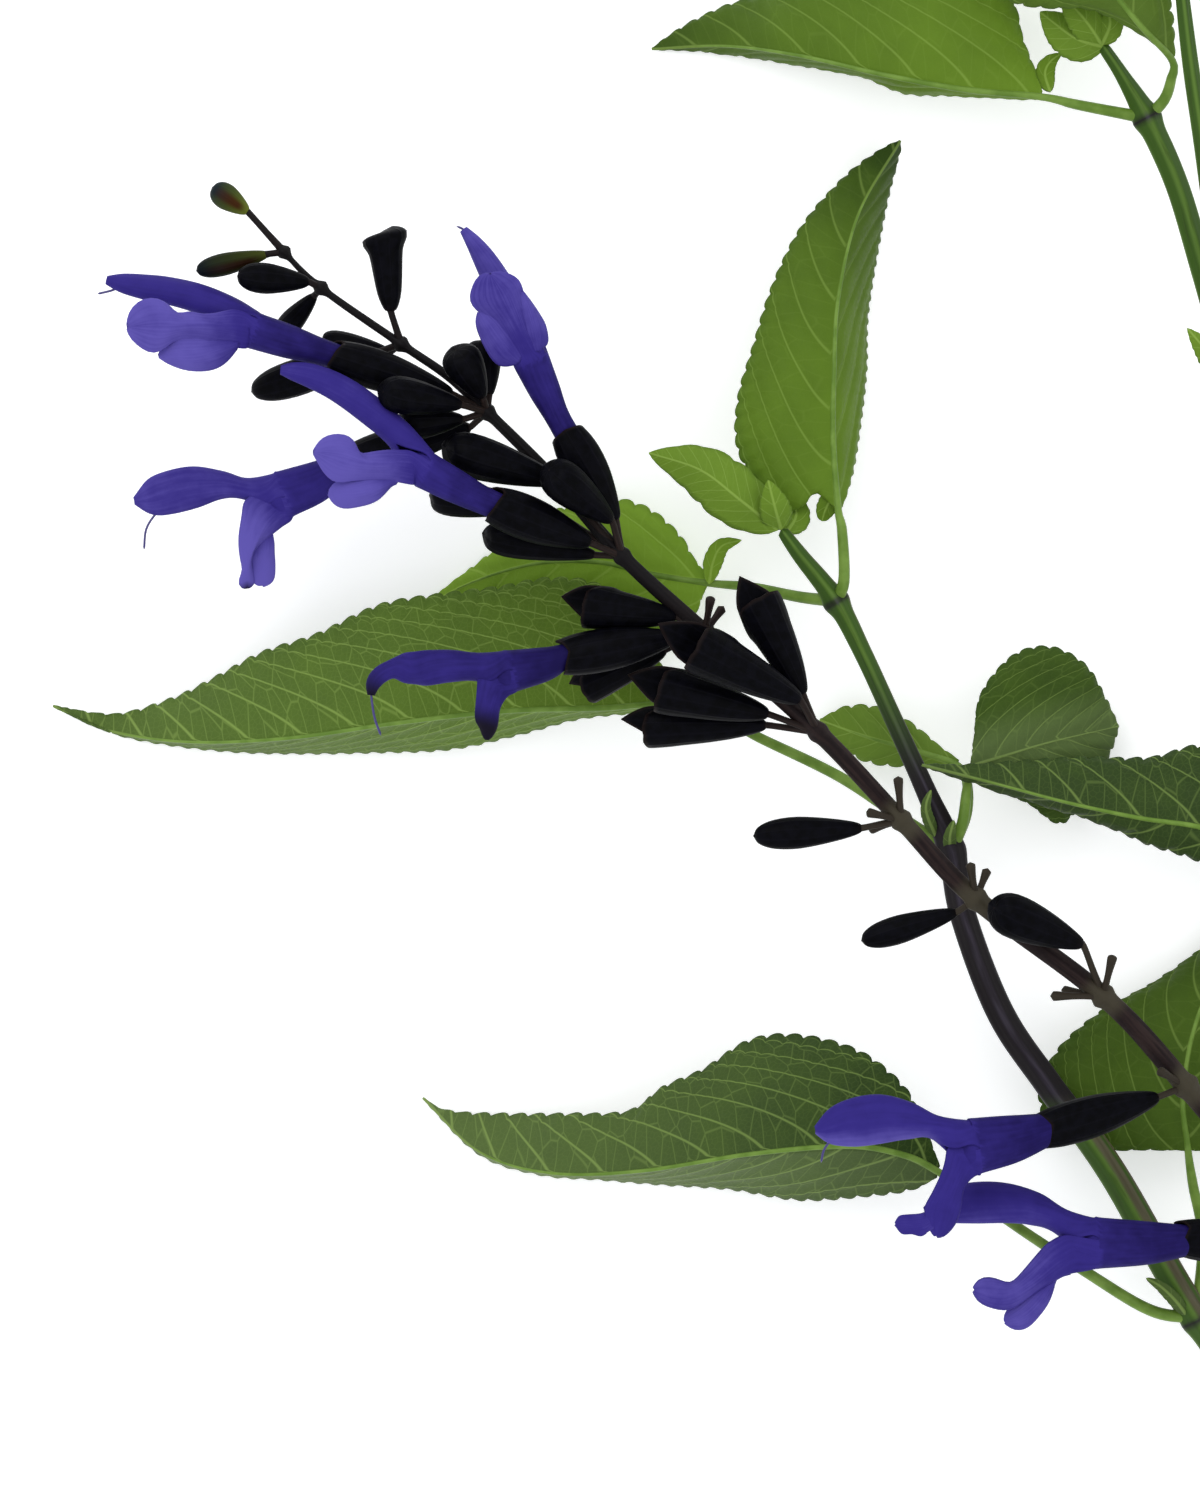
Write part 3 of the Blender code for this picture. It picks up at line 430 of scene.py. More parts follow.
# %% [markdown]
# The next two leaves are the pair of the lowest node of the left shoot. They are older and broader
# than the others, and their tips rest on the table. The last two are the top pair of the right
# shoot.

# %% Leaves of the lowest and of the topmost node
keep_leaf(
    "leaf_low_left", drop=(-13, -3),
    petiole="1197 1318 10  1150 1310 11  1083 1270 14  1010 1222 17",
    rib="""
        937 1171 18  900 1154 18  846 1146 18  750 1154 17  640 1171 15  550 1173 11  480 1152 4
        423 1098 0.25""",
    left="936 1178  912 1190  870 1196  800 1200  730 1189  660 1184  600 1179  540 1174  480 1154",
    right="""
        940 1166  926 1128  905 1086  860 1050  800 1034  750 1039  704 1068  664 1086  630 1110
        570 1113  500 1113  445 1110""",
)
keep_leaf(
    "leaf_low_right", drop=(-1.5, -3),
    petiole="1197 1318 10  1203 1240 9  1193 1185 9",
    rib="1188 1150 9  1183 1090 9  1200 1010 9  1245 930 4  1300 860 0.25",
    left="""
        1184 1150  1150 1150  1100 1149  1052 1132  1038 1095  1056 1051  1100 1012  1150 985  1200 950
        1250 905""",
    right="1192 1150  1230 1148  1262 1105  1282 1035  1292 950",
)
keep_leaf(
    "leaf_top_left", drop=(-9, -5),
    petiole="1147 118 16  1115 112 16  1074 104 16",
    rib="1042 97 16  961 89 16  880 74 15  801 56 12  725 46 4  652 49 0.25",
    left="1041 99  1000 96  955 95  905 93  862 76  800 65  745 56  695 50",
    right="1042 92  1032 62  1023 38  1010 -5  965 -42  900 -55  825 -38  765 -8  722 7  682 27",
    lobe="1050 92 15.5  1045 74 14.5  1050 62 14  1062 53 14", lobe_mm=1.5,
)
keep_leaf(
    "leaf_top_right", drop=(-3, -3),
    petiole="1147 118 16  1164 100 17  1171 80 18.5",
    rib="1172 60 20  1140 25 25  1095 -30 26  1045 -95 23  1003 -178 15",
    left="1169 56  1150 38  1122 22  1085 8  1045 8  1008 0  988 -40  980 -100",
    right="1174 55  1172 10  1158 -40  1125 -95  1070 -140",
)

# %% [markdown]
# The remaining leaves belong to the right shoot and its side shoot. Only the first of them faces
# the flower spike. The others lean away from it, so that their outlines follow those of their
# neighbours.

# %% Leaves on the right
keep_leaf(
    "leaf_right_front", drop=(-4, -4),
    petiole="1385 905 12  1370 890 16  1345 880 19",
    rib="1322 872 20  1260 845 21  1200 827 21  1140 818 20  1069 803 20  997 784 19  922 765 18",
    left="1320 876  1290 902  1240 888  1200 862  1150 845  1100 823  1050 806  985 786",
    right="1320 868  1300 810  1250 762  1200 745  1150 757  1080 757  1020 761  968 765",
)
keep_leaf(
    "leaf_right_back", drop=(-3, -3),
    petiole="1385 905 12  1412 892 13  1440 888 13",
    rib="1465 892 13  1520 912 12  1580 955 4  1625 1015 0.25",
    left="1466 888  1500 835  1565 840  1612 900  1630 960",
    right="1463 897  1450 950  1490 1000  1545 1022  1590 1025",
)
keep_leaf(
    "leaf_side_right", drop=(-3, -3),
    petiole="1240 400 15  1270 382 16  1300 366 16",
    rib="1325 352 16  1385 322 15  1450 300 5  1520 290 0.25",
    left="1323 348  1330 285  1385 240  1440 240  1485 262",
    right="1328 356  1375 405  1435 392  1480 350  1505 320",
)
keep_leaf(
    "leaf_base", drop=(-3, -3),
    petiole="1405 1590 5.5  1445 1565 7  1480 1535 8",
    rib="1500 1515 8  1545 1462 8  1585 1395 3  1610 1320 0.25",
    left="1496 1513  1455 1470  1475 1405  1525 1360  1575 1330",
    right="1504 1518  1570 1535  1625 1485  1640 1420  1630 1365",
)

# %% [markdown]
# A sage leaf is a thin green blade with a crenate edge, which means small rounded teeth. Its
# finish reads the place on the blade in mm from the UV map, and painted numbers for the count of
# side veins, the distance from the midrib and the tones. So the colour falls on the same veins
# that the mesh raises.

# %% What the leaf finish reads
def math_of(finish, operation, *values):
    inputs = {f"i{k}": value for k, value in enumerate(values)}
    return node(finish, "ShaderNodeMath", {"operation": operation}, **inputs).outputs[0]


def times(finish, first, second):
    return math_of(finish, "MULTIPLY", first, second)


def plus(finish, first, second):
    return math_of(finish, "ADD", first, second)


def uv_parts(finish):
    """Place of a point along and across its sheet, from the UV map."""
    places = node(finish, "ShaderNodeUVMap", {"uv_map": "UVMap"}).outputs[0]
    parts = node(finish, "ShaderNodeSeparateXYZ", Vector=places).outputs
    return parts[0], parts[1]


def painted(finish, *names):
    """The numbers that are painted on the points under these names."""
    return [node(finish, "ShaderNodeAttribute", {"attribute_name": name}).outputs[2] for name in names]


# Living leaf: a waxy skin over green tissue, dull, with veins that hold less green
leaf_skin = new_finish("sage_leaf_blade")
along, across = uv_parts(leaf_skin)
vein_count, rib_away, net_share = painted(leaf_skin, "side_vein", "rib_away", "net")
tone, pale, rim = painted(leaf_skin, "tone", "pale", "rim")
print("inputs of the leaf finish:", len(leaf_skin.node_tree.nodes), "nodes")

# %% [markdown]
# A strong midrib runs down the blade, side veins leave it at a narrow angle and sweep towards the
# tip, and rungs of finer veins join them like a ladder. The finest net fills the fields between
# them. The edges of the cells of a Voronoi pattern look like both.

# %% Veins of the leaf finish
RIB_HALF_MM = (0.2, 0.7)
VEIN_HALF = (0.01, 0.06)
RUNG_MM = 2.3
RUNG_LEAN = 0.4
RUNG_HALF = (0.008, 0.06)
MESH_MM = 0.85
MESH_HALF = (0.0, 0.12)


def remap(finish, value, *numbers):
    """value from its first range to its second one, kept inside it, with a soft S."""
    inputs = {f"i{k + 1}": number for k, number in enumerate(numbers)}
    settings = {"interpolation_type": "SMOOTHSTEP"}
    return node(finish, "ShaderNodeMapRange", settings, Value=value, **inputs).outputs[0]


def cell_edges(finish, along, across, half_widths, randomness):
    """Thin lines between the cells of a Voronoi pattern."""
    cells = node(finish, "ShaderNodeCombineXYZ", i0=along, i1=across).outputs[0]
    settings = {"feature": "DISTANCE_TO_EDGE", "voronoi_dimensions": "2D"}
    edge = node(finish, "ShaderNodeTexVoronoi", settings, Vector=cells, Scale=1.0, Randomness=randomness)
    return remap(finish, edge.outputs[0], *half_widths, 1.0, 0.0)


rib = remap(leaf_skin, rib_away, *RIB_HALF_MM, 0.8, 0.0)
side_vein = remap(leaf_skin, math_of(leaf_skin, "PINGPONG", vein_count, 0.5), *VEIN_HALF, 1.0, 0.0)
side_share = plus(leaf_skin, times(leaf_skin, net_share, 0.7), 0.15)
lean = times(leaf_skin, math_of(leaf_skin, "ABSOLUTE", across), RUNG_LEAN)
rung = math_of(leaf_skin, "DIVIDE", math_of(leaf_skin, "SUBTRACT", along, lean), RUNG_MM)
rungs = cell_edges(leaf_skin, rung, plus(leaf_skin, vein_count, 0.75), RUNG_HALF, 0.85)
mesh_places = [math_of(leaf_skin, "DIVIDE", side, MESH_MM) for side in (along, across)]
mesh = cell_edges(leaf_skin, *mesh_places, MESH_HALF, 1.0)
net = math_of(leaf_skin, "MAXIMUM", times(leaf_skin, rungs, 0.42), times(leaf_skin, mesh, 0.12))
net = times(leaf_skin, net, times(leaf_skin, net_share, net_share))
veins = math_of(leaf_skin, "MAXIMUM", rib, times(leaf_skin, side_vein, side_share))
veins = math_of(leaf_skin, "MAXIMUM", veins, net)
print("nodes that draw the veins:", len(leaf_skin.node_tree.nodes))

# %% [markdown]
# Between its veins the blade varies from a fresh yellow-green, where it is young, to a dark green.
# A broad mottle keeps the fields from looking printed, the veins lighten what they cross, and a
# fine grain makes the skin dull and a little rough.

# %% Green of the leaf finish
LEAF_DARK = "#233612"
LEAF_FRESH = "#76992a"
LEAF_PALE = "#66784a"
LEAF_RIM = "#2d4424"
VEIN_LIGHT = "#66793c"
MOTTLE_MM = 7.0
GRAIN_MM = 0.45


def blend(finish, share, first, second, kind="MIX"):
    """A mix of two colours, each a hex value or an output."""
    first, second = (linear(side) if isinstance(side, str) else side for side in (first, second))
    settings = {"data_type": "RGBA", "blend_type": kind}
    return node(finish, "ShaderNodeMix", settings, i0=share, i6=first, i7=second).outputs[2]


def clouds(finish, size_mm, detail):
    """Soft noise with spots of about this size, fixed to the piece."""
    where = node(finish, "ShaderNodeTexCoord").outputs["Object"]
    noise = node(finish, "ShaderNodeTexNoise", Vector=where, Scale=1 / (size_mm * MM), Detail=detail)
    return noise.outputs[0]


def relief(finish, height, strength, depth_mm):
    """A bump that is too fine for the mesh."""
    return node(finish, "ShaderNodeBump", Height=height, Strength=strength, Distance=depth_mm * MM).outputs[0]


mottle = math_of(leaf_skin, "SUBTRACT", clouds(leaf_skin, MOTTLE_MM, 4.0), 0.5)
mottled = plus(leaf_skin, tone, times(leaf_skin, mottle, 0.22))
green = blend(leaf_skin, math_of(leaf_skin, "MAXIMUM", mottled, 0.0), LEAF_DARK, LEAF_FRESH)
green = blend(leaf_skin, pale, green, LEAF_PALE)
green = blend(leaf_skin, times(leaf_skin, rim, 0.2), green, LEAF_RIM)
green = blend(leaf_skin, veins, green, blend(leaf_skin, 1.0, green, VEIN_LIGHT, "SCREEN"))
grain = clouds(leaf_skin, GRAIN_MM, 3.0)
height = plus(leaf_skin, times(leaf_skin, veins, 0.7), times(leaf_skin, grain, 0.35))
dress(leaf_skin, Base_Color=green, Normal=relief(leaf_skin, height, 0.5, 0.22),
      Roughness=remap(leaf_skin, grain, 0.3, 0.7, 0.45, 0.6), Specular_IOR_Level=0.06)

# %% [markdown]
# The blades differ: young ones are fresh and smooth, old ones dark, and the undersides that face
# up are pale with a strong net. Each leaf gets its look from a few numbers. `tone` and `pale` run
# from its foot to its tip, later where `late` is more than 1. `net` is the strength of its veins,
# and `face` says how far the fields between them bulge up, or down where it is negative.

# %% Looks of the leaves
PLAIN_LOOK = dict(pale=(0, 0), late=1, pale_left=0, pale_rib=0, net=0.6, face=1, rib_share=1, round=0.8,
                  tooth_pitch=2.75, tooth_mm=0.62)
LEAF_LOOKS = {
    "leaf_upright": dict(tone=(0.5, 0), late=2.5, round=0.45, net=0.42, net_right=0.1,
                         tooth_pitch=2.4, tooth_mm=0.4),
    "leaf_left_back": dict(tone=(1, 1), pale=(0.08, 0.08), net=0.5),
    "leaf_left_front": dict(tone=(0.5, 0.22), pale=(0, 0.3), pale_left=0.04, net=1, face=-0.5),
    "leaf_right_round": dict(tone=(0.14, 0.12), pale=(0, 0.05), pale_rib=0.5, rib_share=0.45,
                             tooth_pitch=2.4, tooth_mm=0.45),
    "leaf_right_small": dict(tone=(0.55, 0.7), pale=(0.2, 0.2), net=0.5),
    "leaf_low_left": dict(tone=(0, 0.17), pale=(0, 0.5), pale_left=0.35, net=0.85, face=-0.5),
    "leaf_low_right": dict(tone=(0.22, 0.16), net=0.45),
    "leaf_top_left": dict(tone=(0.6, 0.14), late=1.5, net=0.45, tooth_mm=0.45),
    "leaf_top_right": dict(tone=(0.4, 0.26), pale=(0.15, 0), net=0.45),
    "leaf_right_front": dict(tone=(0.02, 0), pale=(0.08, 0.15), net=0.85, face=1.3),
    "leaf_right_back": dict(tone=(0.2, 0.15), pale=(0.1, 0.1)),
    "leaf_side_right": dict(tone=(0.3, 0.25), pale=(0.1, 0.1)),
    "leaf_base": dict(tone=(0.2, 0.15), pale=(0.2, 0.2)),
}
LOOKS = {name: PLAIN_LOOK | look for name, look in LEAF_LOOKS.items()}
print("freshest leaf:", max(LOOKS, key=lambda name: sum(LOOKS[name]["tone"])))

# %% [markdown]
# Each blade is a grid between its midrib and its two edges. The midrib line and the edges are the
# same ones that the solids were drawn from, so the fine blade lies inside the coarse one. Teeth
# are cut into the edge with a rounded wave, and the side veins are counted along each half, so
# that mesh and finish agree on them.

# %% Where each point of a blade lies
ARCH = 0.06
EDGE_SAG = 0.7
TOOTH_ROUND = 0.6
LONGEST_TOOTH = 0.16
VEIN_PITCH_MM = 8.5
VEIN_SLOPE = 1.05
VEIN_BEND = 0.085
VEIN_SHIFT = 0.22


def half_of(leaf, along, across):
    """Midrib and edge at each share of a blade in metres, and the width between them."""
    centre, left = through(leaf["rib"])(along), across > 0.5
    edge = np.where(left[:, None], through(leaf["left"])(along), through(leaf["right"])(along))
    drop = np.where(left, *leaf["drop"]) * np.sin(math.pi * np.clip(along, 0, 1)) ** EDGE_SAG
    inner = sheet(centre)
    outer = sheet(np.column_stack([edge, np.maximum(centre[:, 2] + drop, TIP_MM)]))
    return inner, outer, np.linalg.norm(outer - inner, axis=1)


def vein_places(leaf, along, across):
    """Distance from the midrib in mm, count of side veins, and share of the half width."""
    whole_mm = length_mm(leaf["rib"])
    out = np.abs(2 * across - 1)
    away = half_of(leaf, along, across)[2] / MM * out
    ahead = along * whole_mm - VEIN_SLOPE * away - VEIN_BEND * away**2
    shift = VEIN_SHIFT * np.sign(np.round(2 * across - 1, 6))
    return away, max(5, round(whole_mm / VEIN_PITCH_MM)) * ahead / whole_mm + shift, out


def tooth_count(leaf, look):
    longer = max(length_mm(np.pad(leaf[side], ((0, 0), (0, 1)))) for side in ("left", "right"))
    return round(longer / look["tooth_pitch"])


def scallop(along, teeth):
    """0 at the tips of the teeth and 1 in the notches between them."""
    return 1 - np.abs(np.sin(math.pi * teeth * along)) ** TOOTH_ROUND


def toothed(leaf, look, along, across):
    """Points of a blade before its fields are raised."""
    inner, outer, width = half_of(leaf, along, across)
    out = np.abs(2 * across - 1)
    notch = np.minimum(look["tooth_mm"] * MM / np.maximum(width, 1e-6), LONGEST_TOOTH)
    notch = notch * scallop(along, tooth_count(leaf, look)) * smooth(along, 0.0, 0.06)
    arch = ARCH * width * np.sin(math.pi * out)
    return inner + (outer - inner) * (out - notch * out**6)[:, None] + np.outer(arch, (0, 0, 1))


print("teeth on a side:", {name: tooth_count(LEAVES[name], look) for name, look in LOOKS.items()})

# %% [markdown]
# Once the grid has its outline, each point moves along its normal to raise the fields between the
# veins, and the numbers that the finish reads are painted on it. The blade gets its thickness
# last, half of it above and half below.

# %% Blade of a leaf
BLADE_MM = 0.4
QUILT_MM = 0.32
EDGE_WAVE_MM = 0.12
ROWS_A_TOOTH = 6
HALF_COLUMNS = 24


def ramp(ends, share):
    return ends[0] + (ends[1] - ends[0]) * share


def paint_blade(piece, look, along, across, away, count, out):
    """Paints the tones and the veins of a blade."""
    left = np.where(across > 0.5, 1.0, 0.0) * smooth(out, 0.0, 0.1)
    late = along ** look["late"]
    pale = ramp(look["pale"], late) + look["pale_left"] * left
    pale = pale + look["pale_rib"] * (1 - smooth(away, 1.0, 8.0))
    rib_mm = (1.05 - 0.8 * along) * look["rib_share"]
    paint(piece, side_vein=count, tone=np.clip(ramp(look["tone"], late), 0, 1), pale=np.clip(pale, 0, 1),
          net=ramp((look["net"], look.get("net_right", look["net"])), 1 - left),
          rim=smooth(out, 0.86, 1.0), rib_away=away / rib_mm)


def blade(name, leaf, look):
    """The blade of a leaf with its teeth, quilting and thickness."""
    teeth = tooth_count(leaf, look)
    rows, columns = ROWS_A_TOOTH * teeth, 2 * HALF_COLUMNS
    whole_mm = length_mm(leaf["rib"])
    piece = bent_grid(
        name, rows, columns, lambda along, across: toothed(leaf, look, along, across),
        lambda along, across: (
            along * whole_mm, np.where(across > 0.5, 1, -1) * vein_places(leaf, along, across)[0]))
    along, across = shares(rows, columns)
    away, count, out = vein_places(leaf, along, across)
    beside = np.abs((count + 0.5) % 1 - 0.5)
    field = smooth(beside, 0.0, 0.3) * smooth(away, 0.2, 2.5) * (1 - smooth(out, 0.8, 1.0))
    wave = EDGE_WAVE_MM * np.sin(2 * math.pi * teeth * along) * out**4
    raised = (QUILT_MM * look["face"] * field + wave) * MM
    move_points(piece, vertex_values(piece, "co") + vertex_values(piece, "normal") * raised[:, None])
    paint_blade(piece, look, along, across, away, count, out)
    thicken(piece, BLADE_MM)
    piece.data.materials.append(leaf_skin)
    return piece


blades = {name: blade(f"{name}_blade", LEAVES[name], look) for name, look in LOOKS.items()}
print("faces of the blades:", sum(len(piece.data.polygons) for piece in blades.values()))

# %% [markdown]
# The stalk of a leaf and its midrib are one juicy strand, a paler yellow-green than the blade,
# with a groove on top. The mesh has no groove: a dark line of painted shade along the strand stands for it.

# %% Petiole finish
# Young leaf stalk: smooth green skin over water-filled tissue, so it is a little glossy
petiole_skin = new_finish("sage_petiole")
_, around = uv_parts(petiole_skin)
mottle = clouds(petiole_skin, 3.0, 3.0)
shade = blend(petiole_skin, remap(petiole_skin, mottle, 0.35, 0.65, 0.0, 1.0), "#5b7a28", "#708e3a")
# painted shade: a darker line along one side of the strand stands for the shade in its groove
turn = math_of(petiole_skin, "PINGPONG", around, 0.5)
shade = blend(petiole_skin, remap(petiole_skin, turn, 0.0, 0.14, 0.25, 0.0), shade, "#3a531a")
dress(petiole_skin, Base_Color=shade, Normal=relief(petiole_skin, mottle, 0.3, 0.2),
      Roughness=0.42, Specular_IOR_Level=0.2)

# %% [markdown]
# A stem, a petiole and a style are the same thing at different sizes: a tube along a line, with a
# radius that changes on the way. The stems of the sage family are square, so a tube may have
# corners, and its ends are rounded off by letting the radius run out. A petiole tapers from the
# stem to the tip of the leaf and stands out of the blade on both faces.

# %% A tube along a line, and the stalks
PETIOLE_MM = (0.95, 0.75)
RIB_AT_BASE_MM = 0.55
RIB_AT_TIP_MM = 0.12
CUT_SHARPNESS = 6


def tube(name, points, radii_mm, square=0.0, pitch_mm=0.8, sides=16, bumps=(), cut=False):
    """A closed tube through points in metres, square by a share of its radius, with bumps
    (share of the length, extra radius in mm, half length in mm). Its start may be cut off flat."""
    line = through(np.column_stack([points, np.asarray(radii_mm) * MM]))
    whole_mm = np.linalg.norm(
        np.diff(line(np.linspace(0, 1, CURVE_SAMPLES))[:, :3], axis=0), axis=1).sum() / MM

    def place(along, around):
        centre, radius = line(along)[:, :3], line(along)[:, 3]
        for share, extra, half in bumps:
            radius = radius + extra * MM * np.exp(-(((along - share) * whole_mm / half) ** 2))
        to_start = along * whole_mm * (CUT_SHARPNESS if cut else 1)
        end = np.minimum(to_start, (1 - along) * whole_mm) * MM / np.maximum(radius, 1e-6)
        radius = radius * np.sqrt(1 - (1 - np.clip(end, 0, 1)) ** 2)
        forward = direction(line, along, 0.01)
        first = unit(np.cross(forward, (0.0, 0.0, 1.0)))
        angle = 2 * math.pi * around
        radius = radius * (1 + square * np.cos(4 * angle))
        turned = first * np.cos(angle)[:, None] + np.cross(first, forward) * np.sin(angle)[:, None]
        return centre + turned * radius[:, None]

    return bent_grid(name, max(int(whole_mm / pitch_mm), 4), sides, place,
                     lambda along, around: (along * whole_mm, around), closed=True)


def stalk(name, leaf, rib_share):
    """Petiole and midrib in one tapering strand."""
    radii = [*np.linspace(*PETIOLE_MM, len(leaf["petiole"])),
             *np.linspace(RIB_AT_BASE_MM * rib_share, RIB_AT_TIP_MM, len(leaf["rib"]))]
    points = sheet(np.vstack([leaf["petiole"], leaf["rib"]]))
    piece = tube(name, points, radii, sides=12, pitch_mm=0.9)
    piece.data.materials.append(petiole_skin)
    return piece


stalks = {name: stalk(f"{name}_stalk", leaf, LOOKS[name]["rib_share"]) for name, leaf in LEAVES.items()}
print("faces of the stalks:", sum(len(piece.data.polygons) for piece in stalks.values()))

# %% [markdown]
# The lobe at the foot of a blade is a leaflet: a line with a half width, pointed at both ends and
# tilted up or down on either side. Young leaves will be made in the same way. With it each leaf
# is whole, so blade, stalk and lobe are joined and take their place.

# %% Leaflets, and every leaf whole
LEAFLET_TOOTH_MM = 2.2
LEAFLET_TOOTH = 0.09
LEAFLET_VEIN_MM = 2.4


def leaflet(name, rib, half_mm, tilt, look, rows=28, columns=10):
    line, whole_mm = through(sheet(rib)), length_mm(rib)
    teeth = max(3, round(whole_mm / LEAFLET_TOOTH_MM)) * 2

    def width_of(along, across):
        full = half_mm * MM * (2 * across - 1) * np.sin(math.pi * along**0.8) ** look["round"]
        return full * (1 - LEAFLET_TOOTH * scallop(along, teeth))

    def place(along, across):
        left = unit(np.cross((0.0, 0.0, 1.0), direction(line, along)))
        width = width_of(along, across)
        rise = np.abs(width) * math.tan(math.radians(tilt))
        return line(along) + left * width[:, None] + np.outer(rise, (0, 0, 1))

    piece = bent_grid(name, rows, columns, place,
                      lambda along, across: (along * whole_mm, width_of(along, across) / MM))
    along, across = shares(rows, columns)
    away = np.abs(width_of(along, across)) / MM
    paint(piece, side_vein=(along * whole_mm - 1.3 * away) / LEAFLET_VEIN_MM, tone=ramp(look["tone"], along),
          pale=ramp(look["pale"], along), net=look["net"], rim=smooth(np.abs(2 * across - 1), 0.8, 1.0),
          rib_away=away / (0.5 - 0.3 * along))
    thicken(piece, BLADE_MM)
    piece.data.materials.append(leaf_skin)
    return piece


for name, leaf in LEAVES.items():
    parts = [blades[name], stalks[name]]
    if "lobe" in leaf:
        foot_look = LOOKS[name] | {"tone": (LOOKS[name]["tone"][0],) * 2}
        parts.append(leaflet(f"{name}_lobe", leaf["lobe"], leaf["lobe_mm"], 0.0, foot_look))
    place_in_frame(joined(f"{name}_blade", parts), "leaf", name)

# %% [markdown]
# The stems of a sage are square, with a ridge on each corner, and swell where the leaves sit in
# pairs. The left shoot is stained a dark purple along its middle, where the sun has reached it,
# and green at both ends, with brown stripes towards its foot. A thin dark ring marks each node.

# %% Stem finish
STRIPE_AT = 0.17


def fibres(finish, along, across, turns, detail):
    """Noise that is drawn out along a stem or a petal, with so many turns along and across."""
    ends = [times(finish, side, count) for side, count in zip((along, across), turns)]
    drawn_out = node(finish, "ShaderNodeCombineXYZ", i0=ends[0], i1=ends[1]).outputs[0]
    return node(finish, "ShaderNodeTexNoise", Vector=drawn_out, Scale=1.0, Detail=detail).outputs[0]


# Herbaceous stem: green skin with paler ridges, purple-brown where it is stained, with a painted highlight on
# the stained ridges
stem_skin = new_finish("sage_stem")
along, around = uv_parts(stem_skin)
stain, striped = painted(stem_skin, "stain", "striped")
corner = math_of(stem_skin, "PINGPONG", times(stem_skin, around, 4.0), 0.5)
ridge_and_highlight = remap(stem_skin, corner, 0.0, 0.28, 1.0, 0.0)
grain = fibres(stem_skin, along, around, (0.12, 14.0), 4.0)
green = blend(stem_skin, ridge_and_highlight, "#38541a", "#56732e")
green = blend(stem_skin, remap(stem_skin, grain, 0.52, 0.72, 0.0, 0.6), green, "#2f3f18")
# painted highlight: on the stained part the ridges turn lighter, as if they caught the light
purple = times(stem_skin, ridge_and_highlight, remap(stem_skin, grain, 0.3, 0.7, 0.2, 1.0))
purple = blend(stem_skin, purple, "#1a1518", "#3c3741")
side_stripe = remap(stem_skin, math_of(stem_skin, "PINGPONG", around, 0.5), 0.03, 0.08, 1.0, 0.0)
from_middle = math_of(stem_skin, "ABSOLUTE", math_of(stem_skin, "SUBTRACT", around, STRIPE_AT))
middle_stripe = times(stem_skin, remap(stem_skin, from_middle, 0.04, 0.09, 0.9, 0.0),
                      remap(stem_skin, striped, 0.6, 0.9, 0.0, 1.0))
stripe = times(stem_skin, striped, math_of(stem_skin, "MAXIMUM", side_stripe, middle_stripe))
green = blend(stem_skin, stripe, green, blend(stem_skin, grain, "#3a3020", "#6a6450"))
dress(stem_skin, Base_Color=blend(stem_skin, stain, green, purple),
      Normal=relief(stem_skin, grain, 0.4, 0.2), Roughness=0.45, Specular_IOR_Level=0.12)

# %% [markdown]
# The three shoots start inside a short foot, which is the main stem at its cut end. Each row below
# gives the place of the stem's middle and its radius in mm, from the foot outwards, and the last
# table the places where it swells to a leaf node.

# %% Measured stems
MAIN_STEM = table("""
    1462 1690 2.6 2.4  1435 1645 2.8 2.3  1405 1590 5 2.5  1399 1566 5.6 2.4  1394 1545 6 2.2""", 4)
LEFT_SHOOT = table("""
    1421 1614 4.4 2.1  1405 1590 5.5 2.1  1300 1455 8 2  1197 1318 10 2.1  1112 1172 12 2
    1048 1084 13 1.9  1000 1012 14 1.9  963 915 15 1.8  951 850 15 1.8  926 791 15.5 1.4
    892 716 16 1.25  864 655 17 1.25  836 601 17 1.4  800 555 18 1.1  781 529 19 0.8""", 4)
RIGHT_SHOOT = table("""
    1410 1618 4.4 2.1  1405 1590 5.5 2.1  1428 1430 7 2  1424 1260 8.5 2  1408 1080 10 1.9
    1385 905 12 1.9  1345 730 13 1.8  1290 560 14 1.7  1240 400 15 1.7  1203 272 15.5 1.6
    1177 185 16 1.6  1147 118 16 1.6  1122 75 16.5 1  1102 45 17 0.8""", 4)
SIDE_SHOOT = table("""
    1240 400 15 1.3  1222 290 20 1.2  1203 150 25 1.15  1190 60 27 1.1  1180 -25 28 0.9""", 4)
STEM_NODES = table("""
    1405 1590 5.5 2.9  1197 1318 10 2.4  951 850 15 2.1  836 601 17 1.9  1385 905 12 2.3
    1240 400 15 2.1  1147 118 16 2.1""", 4)
print("left shoot is", round(length_mm(LEFT_SHOOT[:, :3])), "mm long")

# %% [markdown]
# Each shoot is a square tube through its measured points. The swelling of a node is a bump of the
# radius at its place, and the stain, the stripes and the rings are painted numbers, which the
# finish turns into colour.

# %% Shoots
RIDGE_SHARE = 0.09
NODE_HALF_MM = 1.5
RING_MM = 0.55
RING_REACH_MM = 6
STAIN_TOP = sheet((900, 640, 17))[1], sheet((900, 790, 15))[1]
STAIN_BOTTOM = sheet((1052, 1090, 13))[1], sheet((1085, 1135, 12))[1]


def share_at(stem, row):
    """Share of a stem's length at one of its measured points."""
    steps = np.linalg.norm(np.diff(sheet(stem[:, :3]), axis=0), axis=1)
    return steps[:row].sum() / steps.sum()


def nodes_on(stem):
    """Row and radius in mm of each leaf node that a stem passes."""
    return [(row, node_mm) for *spot, node_mm in STEM_NODES
            for row in np.flatnonzero((stem[:, :3] == spot).all(axis=1))]


def rings(stem, points):
    """Strength of the dark rings at the nodes of a stem."""
    line, shade = through(sheet(stem[:, :3])), np.zeros(len(points))
    for row, _ in nodes_on(stem):
        offset = points - sheet(stem[row, :3])
        ahead = offset @ direction(line, share_at(stem, row), 0.01) / MM
        near = np.linalg.norm(offset, axis=1) / MM < RING_REACH_MM
        shade = np.maximum(shade, np.exp(-((ahead / RING_MM) ** 2)) * near)
    return shade


